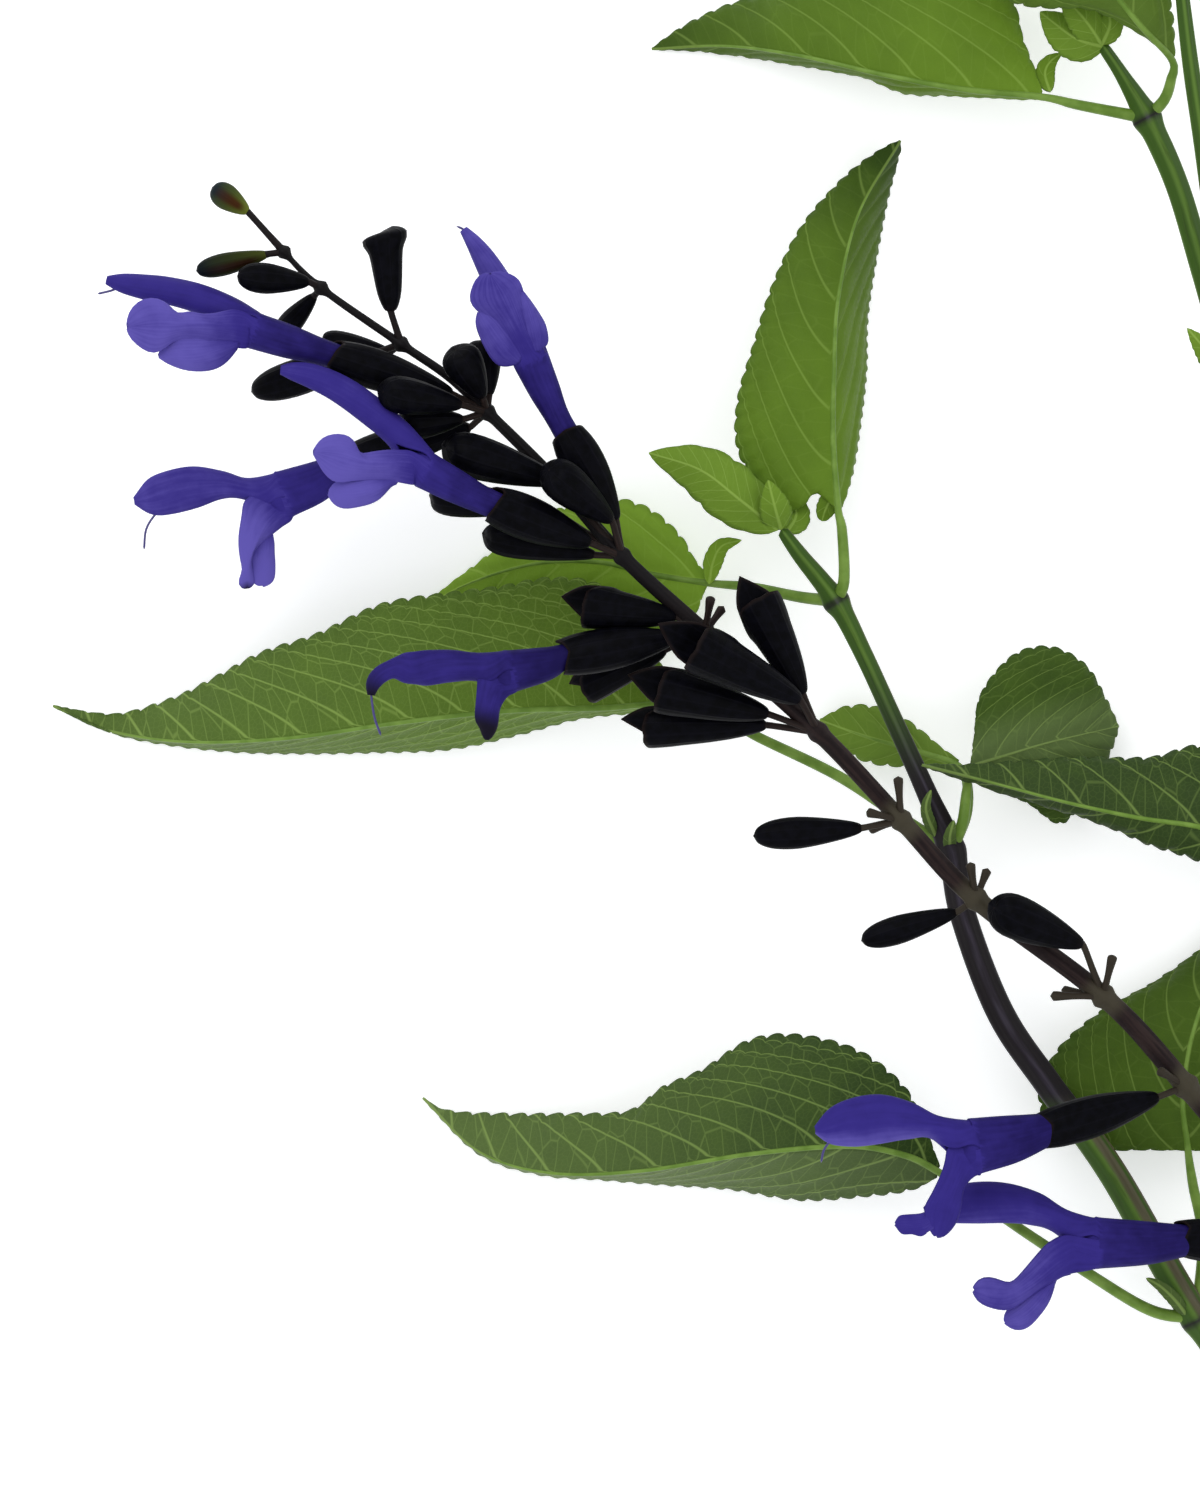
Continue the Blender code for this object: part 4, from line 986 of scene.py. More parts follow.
def shoot(name, stem, stained=False, cut=False):
    bumps = [(share_at(stem, row), node_mm - stem[row, 3], NODE_HALF_MM) for row, node_mm in nodes_on(stem)]
    piece = tube(name, sheet(stem[:, :3]), stem[:, 3], square=RIDGE_SHARE, pitch_mm=0.55, sides=32,
                 bumps=bumps, cut=cut)
    points = vertex_values(piece, "co")
    up = points[:, 1]
    stain = (1 - smooth(up, STAIN_TOP[1], STAIN_TOP[0])) * smooth(up, STAIN_BOTTOM[1], STAIN_BOTTOM[0])
    striped = 0.5 + 0.5 * smooth(-up, -STAIN_TOP[1], -STAIN_BOTTOM[0])
    paint(piece, striped=striped * stained, stain=np.maximum(stain * stained, rings(stem, points)))
    piece.data.materials.append(stem_skin)
    return piece


place_in_frame(shoot("shoot_left", LEFT_SHOOT, stained=True), "stem", "stem")
place_in_frame(shoot("stem_foot", MAIN_STEM, cut=True), "stem")
place_in_frame(shoot("shoot_right", RIGHT_SHOOT), "stem")
place_in_frame(shoot("shoot_side", SIDE_SHOOT), "stem")

# %% [markdown]
# Each shoot ends in young leaves that have hardly opened, and tiny pale sprouts wait in the axils
# of two nodes. All of them are leaflets: a midrib, its half width in mm, and a tilt in degrees.

# %% Young leaves and sprouts
YOUNG_LOOK = PLAIN_LOOK | dict(tone=(0.65, 0.75), pale=(0.1, 0.1))
SPROUT_LOOK = PLAIN_LOOK | dict(tone=(0.1, 0.2), pale=(0.25, 0.35), net=0.2, round=0.6)
YOUNG_LEAVES = (
    ("778 530 19  740 500 21  700 470 20  649 453 17", 4.4, -15),
    ("781 529 19  775 508 22  768 480 23", 2.4, -25),
    ("786 533 18.5  796 515 16  790 492 14", 2.2, -20),
    ("1104 47 17  1075 38 18  1040 12 17", 3.2, -20),
    ("1102 45 17  1085 20 19.5  1060 -8 19.5", 2.6, -20),
    ("1102 45 17  1110 22 18.5  1102 -4 18", 2, -20),
    ("1240 400 15  1222 370 20  1187 328 24", 2.4, -20),
    ("1180 -25 28  1150 -60 29  1105 -98 27", 3.6, -20),
    ("1180 -25 28  1196 -70 29  1222 -118 27", 3.6, -20),
)
SPROUTS = (
    ("1186 1314 11.5  1174 1299 14  1160 1286 15  1146 1278 15", 1, -15),
    ("936 836 15.5  928 818 18  926 805 19  931 790 19", 0.9, -15),
    ("950 850 15.5  950 836 18.5  954 820 19.5", 1, -15),
)
young = [leaflet(f"young_leaf_{k + 1}", table(rib, 3), half_mm, tilt, YOUNG_LOOK)
         for k, (rib, half_mm, tilt) in enumerate(YOUNG_LEAVES)]
young += [leaflet(f"sprout_{k}", table(rib, 3), half_mm, tilt, SPROUT_LOOK)
          for k, (rib, half_mm, tilt) in enumerate(SPROUTS)]
place_in_frame(joined("young_leaves", young), "leaf")

# %% [markdown]
# The flower spike is a raceme: one axis with whorls of short-stalked flowers, twelve of them here.
# Each row gives the place, the radius in mm and the number of the whorl that sits there, or 0.
# The axis is nearly black at its tip and browner lower down, where its whorls have shed their
# flowers.

# %% Finish of the flower axis
RACEME = table("""
    252 216 34 0.45 0  284 252 34 0.5 1  321 288 34 0.65 2  401 344 34 0.75 3  449 377 34 0.8 0
    487 412 34 0.95 4  553 478 34 1.05 0  622 556 34 1.2 5  705 632 34 1.3 6  818 732 33 1.4 7
    901 820 32 1.4 8  976 899 30.5 1.5 9  1103 996 28 1.5 10  1186 1086 26 1.6 11  1310 1240 22 1.6 12
    1368 1360 17 1.6 0  1398 1480 11 1.7 0  1405 1590 5.5 1.8 0""", 5)
WHORLS = {int(row[4]): row[:3] for row in RACEME if row[4]}
# Hardened flower stalk: fine-grained skin, dark pigment, short hairs that catch light
axis_skin = new_finish("sage_flower_axis")
along, around = uv_parts(axis_skin)
brown, joint = painted(axis_skin, "brown", "joint")
streak = fibres(axis_skin, along, around, (0.1, 9.0), 3.0)
mottle = clouds(axis_skin, 1.6, 5.0)
low = blend(axis_skin, remap(axis_skin, streak, 0.4, 0.65, 0.0, 1.0), "#170d0e", "#2b1f1d")
low = blend(axis_skin, remap(axis_skin, mottle, 0.5, 0.75, 0.0, 0.4), low, "#2b1f1d")
colour = blend(axis_skin, brown, "#0f0c0e", low)
colour = blend(axis_skin, times(axis_skin, joint, brown), colour, "#3c372b")
dress(axis_skin, Base_Color=colour, Normal=relief(axis_skin, mottle, 0.5, 0.25),
      Roughness=0.6, Specular_IOR_Level=0.12)

# %% [markdown]
# The axis is a square tube like the shoots, thinner than its solid so that it stays inside it, and
# each whorl is a swelling on it that grows from the tip downwards.

# %% Axis of the spike
AXIS_SHARES = 0.72, 0.95
SWELLING_MM = 1.08
SWELLING_STEP_MM = 0.09
SWELLING_HALF_MM = 0.8
BROWN_FROM = sheet((600, 0, 34))[0], sheet((900, 0, 32))[0]
FIRST_JOINT = 8

bumps = [(share_at(RACEME, row), SWELLING_MM + SWELLING_STEP_MM * whorl - radius, SWELLING_HALF_MM)
         for row, (radius, whorl) in enumerate(RACEME[:, 3:]) if whorl]
axis = tube("flower_axis", sheet(RACEME[:, :3]), RACEME[:, 3] * np.linspace(*AXIS_SHARES, len(RACEME)),
            square=0.08, pitch_mm=0.45, sides=20, bumps=bumps)
points = vertex_values(axis, "co")
away = np.min([np.linalg.norm(points - sheet(spot), axis=1) / MM
               for whorl, spot in WHORLS.items() if whorl >= FIRST_JOINT], axis=0)
paint(axis, brown=smooth(points[:, 0], *BROWN_FROM), joint=1 - smooth(away, 2.0, 4.5))
axis.data.materials.append(axis_skin)
place_in_frame(axis, "raceme", "raceme")

# %% [markdown]
# Each whorl carries stalked calyces. Some have lost their corolla and stand open, the young ones
# at the tip are still shut, and some pedicels are bare because the whole flower has dropped. Each
# row below holds the whorl, the mouth and the base of the calyx, its widest radius in mm and its
# state.

# %% Measured calyces and bare pedicels
CALYCES = (
    (1, (212, 187, 35), (248, 212, 34.3), 1.9, "shut"),
    (1, (196, 271, 35), (268, 254, 34.3), 1.65, "shut"),
    (2, (237, 276, 38), (309, 282, 35), 2.25, "shut"),
    (2, (277, 338, 27), (315, 295, 32.5), 1.75, "shut"),
    (3, (384, 230, 36), (391, 312, 35), 2.4, "trumpet"),
    (3, (251, 392, 27), (372, 354, 32), 2.7, "shut"),
    (3, (322, 342, 29), (390, 352, 32), 2.0, "blunt"),
    (4, (383, 392, 43), (462, 405, 38), 2.7, "blunt"),
    (4, (400, 424, 36), (464, 419, 35), 2.4, "blunt"),
    (4, (456, 350, 39), (483, 398, 36), 2.9, "blunt"),
    (4, (482, 340, 32), (489, 396, 33.5), 2.5, "blunt"),
    (5, (446, 448, 38), (560, 482, 35.5), 3.2, "blunt"),
    (5, (430, 498, 25), (545, 506, 31), 2.5, "blunt"),
    (5, (549, 470, 43), (612, 521, 37), 3.0, "blunt"),
    (5, (485, 536, 33), (596, 555, 33), 2.5, "blunt"),
    (6, (577, 605, 34), (676, 617, 34), 2.8, "open"),
    (6, (582, 688, 26), (665, 650, 31), 2.4, "open"),
    (7, (683, 640, 43), (800, 700, 37), 3.3, "open"),
    (7, (753, 592, 36), (803, 694, 35), 3.0, "open"),
    (7, (649, 686, 36), (768, 714, 34), 3.1, "open"),
    (7, (639, 727, 28), (766, 725, 31.5), 2.7, "open"),
    (8, (753, 836, 33), (862, 828, 32), 2.35, "shut"),
    (9, (861, 941, 29), (957, 912, 29.5), 2.1, "shut"),
    (10, (994, 908, 36), (1083, 945, 32), 3.2, "blunt"),
    (12, (1398, 1178, 30), (1332, 1216, 25), 2.7, "open"),
)
# Whorl and end of each pedicel that has lost its calyx
BARE_PEDICELS = table("""
    6 711 596 38  6 724 606 33  8 898 776 35  8 866 812 35  8 869 830 28  9 970 862 33  9 988 868 29
    10 1050 996 30  10 1061 990 25  10 1113 955 33  11 1158 1070 30  12 1332 1188 27
    12 1285 1275 18""", 4)
states = [calyx[-1] for calyx in CALYCES]
print("calyces:", {state: states.count(state) for state in sorted(set(states))})

# %% [markdown]
# Seven flowers are open. Each is measured by its own calyx, by the sections of its tube and of its
# hood, which are a place with half the height and half the width in mm, and by its lower lip with
# the side lobes. The first three sit highest on the spike.

# %% Flowers near the tip
FLOWERS = []


def keep_flower(calyx, tube, hood, petals):
    """Keeps the measures of one flower, with the lower lip as the first of its petals."""
    FLOWERS.append({"calyx": calyx, "tube": table(tube, 5), "hood": table(hood, 5), "petals": petals})
    print("flower", len(FLOWERS), "has a lip of", round(length_mm(petals[0]["rib"]), 1), "mm")


keep_flower(
    calyx=(4, (333, 356, 37), (452, 394, 35), 2.85),
    tube="325 353 36.8 1.7 1.7  290 342 37.3 2.5 2.1  255 331 37.5 2.6 2.4",
    hood="""
        232 313 36.5 2.3 1.9  200 299 36 2.4 1.7  170 291 36 2.3 1.5  145 287 36 2.1 1.3
        122 283 36 1.5 1  106 280 36 0.4 0.4""",
    petals=[
        outline(
            rib="262 335 39  235 329 41  205 325 43  175 326 44.3  150 326 44.5  127 327 43.5",
            left="258 350  235 347  204 343  177 339  167 344  161 350  150 353  137 345  129 336",
            right="""
                258 318  245 312  232 309  215 313  200 314  188 311  176 314  169 306  160 299  147 297
                135 303  128 314""",
            drop=(-1.2, -1.2),
        ),
        outline(
            rib="240 343 40  215 351 42  190 356 43  158 356 42",
            left="237 348  229 358  220 366  208 370  189 370  170 364",
            right="235 338  204 338  177 336  164 344",
            drop=(-1.6, -0.5),
        ),
    ],
)
keep_flower(
    calyx=(5, (492, 504, 41), (590, 543, 37), 3.1),
    tube="485 501 41 1.8 1.8  455 486 41.5 2.4 2.1  425 470 42 2.7 2.4",
    hood="""
        400 436 41 2.1 1.9  370 410 40.5 2.2 1.8  340 389 40 2.1 1.6  312 376 40 1.8 1.3
        292 371 40 1.2 0.9  280 370 40 0.4 0.4""",
    petals=[
        outline(
            rib="425 470 43.5  395 465 46  365 463 48  340 456 48.8  313 452 48",
            left="424 487  400 482  381 479  355 480  335 482  324 473  318 462",
            right="""
                420 449  403 450  388 450  372 452  359 454  355 445  351 438  343 434  332 434  322 438
                316 446""",
            drop=(-1.2, -1.2),
        ),
        outline(
            rib="400 478 44.5  375 488 46.3  352 493 47  328 493 46",
            left="397 484  391 485  384 493  375 501  359 506  343 508  333 503",
            right="395 474  375 476  350 479  335 482",
            drop=(-1.6, -0.5),
        ),
    ],
)
keep_flower(
    calyx=(4, (362, 456, 26), (470, 427, 31), 2.7),
    tube="347 462 25.5 1.7 1.7  318 481 25 2.8 2.2  285 494 25 3.3 2.4",
    hood="""
        247 489 24.5 1.45 1.6  222 485 24.3 1.9 1.7  195 487 24 2.9 1.7  168 493 24 3 1.5
        150 498 24 2.4 1.2  134 501 24 0.3 0.3""",
    petals=[
        outline(
            rib="285 503 26  266 520 26.7  256 543 26.5  248 565 26  247 588 24.5",
            left="297 519  285 524  274 532  262 541  252 551  250 562  253 575  254 584",
            right="266 490  252 494  243 501  241 515  238 538  240 558  243 570  238 582  240 588",
            drop=(-1.5, -1),
        ),
        outline(
            rib="266 531 25.4  263 552 25  263 572 24.7  262 586 24.3",
            left="273 532  274 543  274.4 555  275 572  273 581  268 585",
            right="258 541  250 552  249 565  251 578  256 585",
            drop=(-0.8, -0.4),
        ),
    ],
)

# %% [markdown]
# The next two flowers hang at the middle of the spike. The fifth is wilting, so its lip has folded
# and its hood is curled down at the tip.

# %% Flowers in the middle
keep_flower(
    calyx=(5, (566, 432, 36), (616, 520, 35), 3.0),
    tube="558 418 36.3 1.5 1.6  545 391 36.8 2 2.1  531 360 37.8 2.4 2.5",
    hood="""
        515 315 36.5 2.2 2.2  499 285 36.5 2 1.9  485 260 36.5 1.6 1.5  474 243 37 1.2 1
        463 229 37 0.4 0.4""",
    petals=[
        outline(
            rib="533 360 39.5  520 335 41.5  508 310 43  498 290 43.8  490 274 43.5",
            left="""
                516 374  510 355  500 336  489 319  477 310  471 304  469 296  472 286  476 278  483 273""",
            right="549 360  541 345  533 325  528 307  523 291  521 283  517 277  508 273  499 271",
            drop=(-1.2, -1.2),
        ),
        outline(
            rib="520 362 40  506 345 41.3  492 327 42  479 311 42",
            left="515 364  505 366  495 363  485 348  477 329  476 319",
            right="524 352  512 335  502 320  490 311",
            drop=(-1.5, -0.4),
        ),
        outline(
            rib="540 352 40  536 330 41.5  530 310 42.3  522 291 42.5",
            left="533 352  526 330  521 310  519 298",
            right="539 347  545 346  548 340  545 324  536 309  528 298",
            drop=(-0.4, -1.5),
        ),
    ],
)
keep_flower(
    calyx=(6, (564, 657, 35), (676, 637, 35), 3.0),
    tube="568 655 35 1.5 1.6  545 664 35 2.3 2  512 671 35.5 2.9 2.3",
    hood="""
        478 667 35.5 1.9 1.7  450 666 35.5 2.2 1.5  425 668 35.5 2.4 1.3  406 668 35 2.1 1.1
        392 669 35 1.2 0.8  380 675 35 1.1 0.7  373 684 35 0.9 0.6  371 696 35 0.3 0.3""",
    petals=[
        outline(
            rib="498 680 36.5  491 700 37.2  487 720 37  487 740 36",
            left="513 691  504 700  499 710  497 726  492 736",
            right="484 664  478 674  477 686  476 702  475 719  480 727  483 736",
            drop=(-1.2, -0.8),
        ),
    ],
)

# %% [markdown]
# The last two flowers stand lowest on the spike. Their tubes are the widest, and their lips are
# folded lengthwise, so that one wall faces the viewer.

# %% Flowers near the foot
keep_flower(
    calyx=(11, (1043, 1131, 31), (1158, 1097, 27.5), 3.0),
    tube="1045 1130 31 2.3 2  1012 1139 32 3.3 2.5  975 1146 33 3.9 2.8",
    hood="""
        937 1128 34 1.6 1.7  910 1121 34.3 2.5 1.8  880 1119 34.5 3.4 1.8  852 1123 34.5 3.3 1.6
        830 1128 35 2.3 1.2  815 1130 35 0.3 0.3""",
    petals=[
        outline(
            rib="965 1152 34.5  956 1175 36  945 1200 36.3  940 1220 35.6  936 1237 35",
            left="985 1171  972 1179  964 1190  962 1205  958 1221  951 1231  943 1237",
            right="956 1137  948 1146  946 1161  942 1175  933 1194  925 1208  926 1220  930 1230",
            drop=(-1.5, -1.1),
        ),
        outline(
            rib="940 1214 35.4  920 1224 34.8  895 1224 34",
            left="934 1230  927 1233  921 1237  912 1234  902 1234",
            right="936 1206  925 1213  912 1215  900 1216",
            drop=(-0.8, -0.8),
        ),
    ],
)
keep_flower(
    calyx=(12, (1180, 1238, 26), (1290, 1248, 23.5), 3.0),
    tube="1180 1241 26 2.3 2.1  1145 1243 26 3.1 2.5  1098 1243 26 3.7 2.8",
    hood="""
        1062 1222 25.6 1.7 1.9  1035 1209 25.2 2.4 1.9  1005 1203 25 2.9 1.8  970 1203 24 2.9 1.7
        942 1207 23 2.1 1.3  924 1211 23 0.3 0.3""",
    petals=[
        outline(
            rib="1085 1244 27.5  1060 1258 29  1030 1282 30  1003 1296 30  973 1290 29",
            left="1084 1270  1064 1277  1042 1290  1026 1301  1008 1311  988 1307  977 1300",
            right="""
                1072 1226  1062 1235  1048 1244  1038 1255  1025 1271  1014 1283  1007 1284  996 1279
                986 1277  977 1281""",
            drop=(-1.4, -1),
        ),
        outline(
            rib="1064 1268 27  1046 1290 28.2  1026 1312 28.2  1004 1322 27.2",
            left="1073 1274  1057 1278  1054 1288  1049 1303  1040 1316  1027 1329  1014 1330",
            right="1057 1265  1036 1282  1015 1302  1005 1313",
            drop=(-1.2, -0.6),
        ),
    ],
)

# %% [markdown]
# Every calyx hangs on a pedicel, a short stalk that arches a little on its way from the whorl and
# runs on into the base of the calyx. A bare pedicel ends in a dry cup instead.

# %% Pedicels
PEDICEL_MM = 0.5
FOOT_SHARE = 1.2
CUP_MM = 0.8
INSIDE_CALYX_MM = 0.7
INSIDE_CALYX_SHARE = 0.08
ARCH_SHARE = 0.01
BROWN_WHORL = 4


def pedicel(name, whorl, end, beyond=None):
    """A stalk from its whorl into a calyx that points beyond, or to a bare cup."""
    root, top = sheet(WHORLS[whorl]), sheet(end)
    rise = np.array((0, 0, ARCH_SHARE * np.linalg.norm(top - root)))
    points, radii = [root, (root + top) / 2 + rise, top], [PEDICEL_MM * FOOT_SHARE, PEDICEL_MM]
    if beyond is None:
        radii += [CUP_MM]
    else:
        points += [top + (sheet(beyond) - top) * INSIDE_CALYX_SHARE]
        radii += [PEDICEL_MM, INSIDE_CALYX_MM]
    piece = tube(name, np.array(points), radii, sides=10, pitch_mm=0.5)
    paint(piece, brown=1.0 if whorl >= BROWN_WHORL else 0.3, joint=0.55 if whorl >= FIRST_JOINT else 0.1)
    piece.data.materials.append(axis_skin)
    return piece


cups = [*CALYCES, *(flower["calyx"] for flower in FLOWERS)]
pedicels = [pedicel(f"pedicel_{k}", cup[0], cup[2], cup[1]) for k, cup in enumerate(cups)]
pedicels += [pedicel(f"bare_pedicel_{k}", int(bare[0]), bare[1:]) for k, bare in enumerate(BARE_PEDICELS)]
place_in_frame(joined("pedicels", pedicels), "raceme")

# %% [markdown]
# A calyx is the cup that holds a flower. It is a swollen bell that ends in two broad lips with a
# deep notch between them on either side. On this plant it is velvety and almost black, with a
# brownish rim. The two youngest buds are still partly green.

# %% Calyx finish
CALYX_RIBS = 10.0
# Pigmented calyx: thin skin, blue-black with anthocyanin, with a bloom of short hairs
calyx_skin = new_finish("sage_calyx")
along, around = uv_parts(calyx_skin)
rib = math_of(calyx_skin, "PINGPONG", times(calyx_skin, around, CALYX_RIBS), 0.5)
rib = remap(calyx_skin, rib, 0.0, 0.16, 1.0, 0.0)
mottle = clouds(calyx_skin, 1.3, 4.0)
black = blend(calyx_skin, remap(calyx_skin, mottle, 0.35, 0.65, 0.0, 1.0), "#030305", "#07070d")
black = blend(calyx_skin, times(calyx_skin, rib, 0.2), black, "#12111a")
black = blend(calyx_skin, remap(calyx_skin, along, 0.97, 1.0, 0.0, 0.6), black, "#231a18")
black = blend(calyx_skin, remap(calyx_skin, along, 0.0, 0.2, 0.6, 0.0), black, "#1f1715")
from_top = math_of(calyx_skin, "ABSOLUTE", math_of(calyx_skin, "SUBTRACT", around, 0.5))
streak = times(calyx_skin, remap(calyx_skin, from_top, 0.02, 0.12, 1.0, 0.0),
               remap(calyx_skin, along, 0.15, 0.35, 0.0, 1.0))
fresh = blend(calyx_skin, remap(calyx_skin, along, 0.05, 0.5, 0.0, 1.0), "#6a7428", "#454f20")
fresh = blend(calyx_skin, streak, fresh, "#40240c")
fresh = blend(calyx_skin, remap(calyx_skin, along, 0.4, 0.75, 0.0, 0.95), fresh, "#18242a")
height = plus(calyx_skin, rib, times(calyx_skin, mottle, 0.5))
dress(calyx_skin, Base_Color=blend(calyx_skin, painted(calyx_skin, "green")[0], black, fresh),
      Normal=relief(calyx_skin, height, 0.3, 0.15), Roughness=0.45, Specular_IOR_Level=0.04)

# %% [markdown]
# The shape of a calyx is a profile turned about its middle line: rows of the way from base to
# mouth and the width there, as shares of length and radius. Its rim then reaches forward or back
# by a share of the length, which depends on the angle from the upper lip, from 0 to half a turn.
# An open calyx turns its long lip down to the table, and one that holds a flower follows the lips
# of that flower.

# %% Calyces
CALYX_WALL_MM = 0.3
CALYX_DEEP = 0.85
CALYX_SHAPES = {
    "open": ("0 0  0.02 0.24  0.12 0.46  0.28 0.68  0.48 0.86  0.68 0.97  0.86 1.06  1 1.1",
             "0 0.17  0.25 0.11  0.9 -0.06  1.3 -0.3  1.6 -0.19  2.05 -0.08  2.8 -0.05  3.15 -0.06"),
    "holding": ("0 0  0.02 0.24  0.12 0.46  0.28 0.7  0.48 0.92  0.68 1  0.86 0.95  1 0.8",
                "0 0.05  1.4 -0.05  2.2 0  3.15 0.03"),
    "blunt": ("0 0  0.02 0.24  0.12 0.44  0.3 0.68  0.5 0.88  0.7 1  0.85 0.97  0.95 0.76  0.99 0.45  1 0",
              "0 0.05  3.15 -0.04"),
    "shut": ("0 0  0.02 0.3  0.16 0.58  0.4 0.86  0.62 1  0.82 0.88  0.95 0.52  1 0", "0 0  3.15 0"),
    "trumpet": ("""0 0  0.02 0.32  0.08 0.5  0.2 0.7  0.35 0.82  0.5 0.9  0.65 0.98  0.75 1.07
                0.83 1.27  0.9 1.4  0.95 1.27  0.985 0.85  1 0""", "0 -0.06  3.15 0.05"),
}
SPIKE_TIP = unit(sheet(RACEME[0, :3]) - sheet(WHORLS[8]))
LONG_LIP = unit(0.5 * SPIKE_TIP + np.array((0.0, 0.0, -0.87)))
BUD_GREEN = {0: 0.9, 1: 0.35}


def calyx(name, mouth, base, widest_mm, state, hint, green=0.0):
    """A bell with its upper lip towards hint, or a bud that is drawn to a point."""
    start, end = sheet(base), sheet(mouth)
    length = np.linalg.norm(end - start)
    forward = (end - start) / length
    upper = unit(hint - forward * (forward @ hint))
    side = np.cross(forward, upper)
    profile, rim = (table(text, 2) for text in CALYX_SHAPES[state])

    def place(along, around):
        angle = 2 * math.pi * around
        ahead, width = through(profile)(along).T
        turn = np.abs((angle + math.pi) % (2 * math.pi) - math.pi)
        reach = np.interp(turn, *rim.T) * smooth(ahead, 0.4, 1.0) * np.clip(2 * width, 0, 1)
        out = (np.outer(np.cos(angle), upper) + np.outer(np.sin(angle), side)) * (1, 1, CALYX_DEEP)
        ahead = np.outer(ahead * (1 + reach) * length, forward)
        return start + ahead + out * (width * widest_mm * MM)[:, None]

    piece = bent_grid(name, 28, 48, place, lambda along, around: (along, around), closed=True)
    paint(piece, green=green)
    if state in ("open", "holding"):
        thicken(piece, CALYX_WALL_MM)
    piece.data.materials.append(calyx_skin)
    return piece


def lips_apart(flower):
    """The way from the tip of a flower's lower lip to the tip of its hood."""
    return sheet(flower["hood"][-1, :3]) - sheet(flower["petals"][0]["rib"][-1])


bells = [calyx(f"cup_{k}", *measures, SPIKE_TIP if measures[-1] == "trumpet" else LONG_LIP,
               BUD_GREEN.get(k, 0.0)) for k, (_, *measures) in enumerate(CALYCES)]
bells += [calyx(f"holding_cup_{k}", *flower["calyx"][1:], "holding", lips_apart(flower))
          for k, flower in enumerate(FLOWERS)]
place_in_frame(joined("calyces", bells), "raceme")

# %% [markdown]
# Petals are thin, soft and full of water. Their violet-blue is darkest down the tube and palest on
# the lobes of the lip, with a fine grain along the petal, and it turns to a dull brown-black where
# a petal withers.

# %% Corolla finish
# Petal: water-filled cells under a velvet skin
corolla_skin = new_finish("sage_corolla")
along, across = uv_parts(corolla_skin)
tone, faded = painted(corolla_skin, "tone", "faded")
grain = fibres(corolla_skin, along, across, (2.5, 22.0), 4.0)
shifts = [times(corolla_skin, math_of(corolla_skin, "SUBTRACT", pattern, 0.5), 0.3)
          for pattern in (grain, clouds(corolla_skin, 2.5, 3.0))]
level = plus(corolla_skin, tone, plus(corolla_skin, *shifts))
colour = blend(corolla_skin, remap(corolla_skin, level, 0.0, 0.5, 0.0, 1.0), "#170f47", "#32287a")
colour = blend(corolla_skin, remap(corolla_skin, level, 0.45, 1.0, 0.0, 1.0), colour, "#5b51a4")
dress(corolla_skin, Base_Color=blend(corolla_skin, faded, colour, "#14101f"),
      Normal=relief(corolla_skin, grain, 0.2, 0.15), Roughness=0.6, Specular_IOR_Level=0.06)

# %% [markdown]
# A section of the tube or the hood is a ring that is taller than wide. A lobe is a sheet between a
# middle line and its two edges. A folded lip is the same sheet laid double: both its walls run
# from one edge to the other, the near one bulging up and the far one down.

# %% Rings, lobes and folded lips
RUFFLE_MM = 0.12


def ring(line, share, angle, hint):
    """Points at an angle round a line of places and radii, counted from the side of hint."""
    data, forward = line(share), direction(line, share)
    upper = unit(hint - forward * (forward @ hint)[:, None])
    side = np.cross(forward, upper)
    out = upper * (np.cos(angle) * data[:, 3])[:, None] + side * (np.sin(angle) * data[:, 4])[:, None]
    return data[:, :3] + out


def fall_of(petal, along, turn):
    """How far a petal hangs below its middle line at its edge, in mm."""
    return np.where(turn > 0, *petal["drop"]) * np.sin(math.pi * np.clip(along, 0.02, 0.98)) ** 0.5


def lobe(petal, along, turn):
    """Points of a petal between its middle line and its two edges, turn -1 to 1 across it."""
    centre, out = through(petal["rib"])(along), np.abs(turn)
    edge = np.where((turn > 0)[:, None], through(petal["left"])(along), through(petal["right"])(along))
    inner, outer = sheet(centre), sheet(np.column_stack([edge, centre[:, 2]]))
    ruffle = RUFFLE_MM * np.sin(7 * math.pi * along + turn) * out**3
    lift = (fall_of(petal, along, turn) * out**2 + ruffle) * MM
    return inner + (outer - inner) * out[:, None] + np.outer(lift, (0, 0, 1))


def folded_lip(petal, along, turn):
    """Points of a lip that is folded lengthwise, its near wall turned to the viewer."""
    unfolded = 1 - 2 * np.abs(turn)
    deepest = fall_of(petal, along, np.ones(len(along)))
    behind = 2 * (deepest - fall_of(petal, along, unfolded) * unfolded**2) * (turn < 0)
    return lobe(petal, along, unfolded) + np.outer(behind * MM, (0, 0, 1))


lip = FLOWERS[0]["petals"][0]
across_lip = lobe(lip, np.full(2, 0.5), np.array([-1.0, 1.0]))
print("the first lip is", round(np.linalg.norm(np.diff(across_lip, axis=0)) / MM, 1), "mm broad")

# %% [markdown]
# The tube of a corolla starts hidden in its calyx, as a narrow neck. It widens on its way to the
# throat, whose ring of points the two lips share.

# %% Tube of a corolla
SEAT = ((0.4, 0.4), (0.75, 0.55))


def in_metres(sections):
    return np.column_stack([sheet(sections[:, :3]), sections[:, 3:] * MM])


def tube_line(flower):
    """Middle line and radii of a tube, from its neck in the calyx to the throat."""
    _, mouth, base, widest_mm = flower["calyx"]
    start, end = sheet(base), sheet(mouth)
    seat = [(*(start + (end - start) * share), *[widest_mm * width * MM] * 2) for share, width in SEAT]
    return through(np.vstack([seat, in_metres(flower["tube"])]))


throats = [2 * tube_line(flower)(1.0)[3] / MM for flower in FLOWERS]
print("height of the throats in mm:", np.round(throats, 1).tolist())

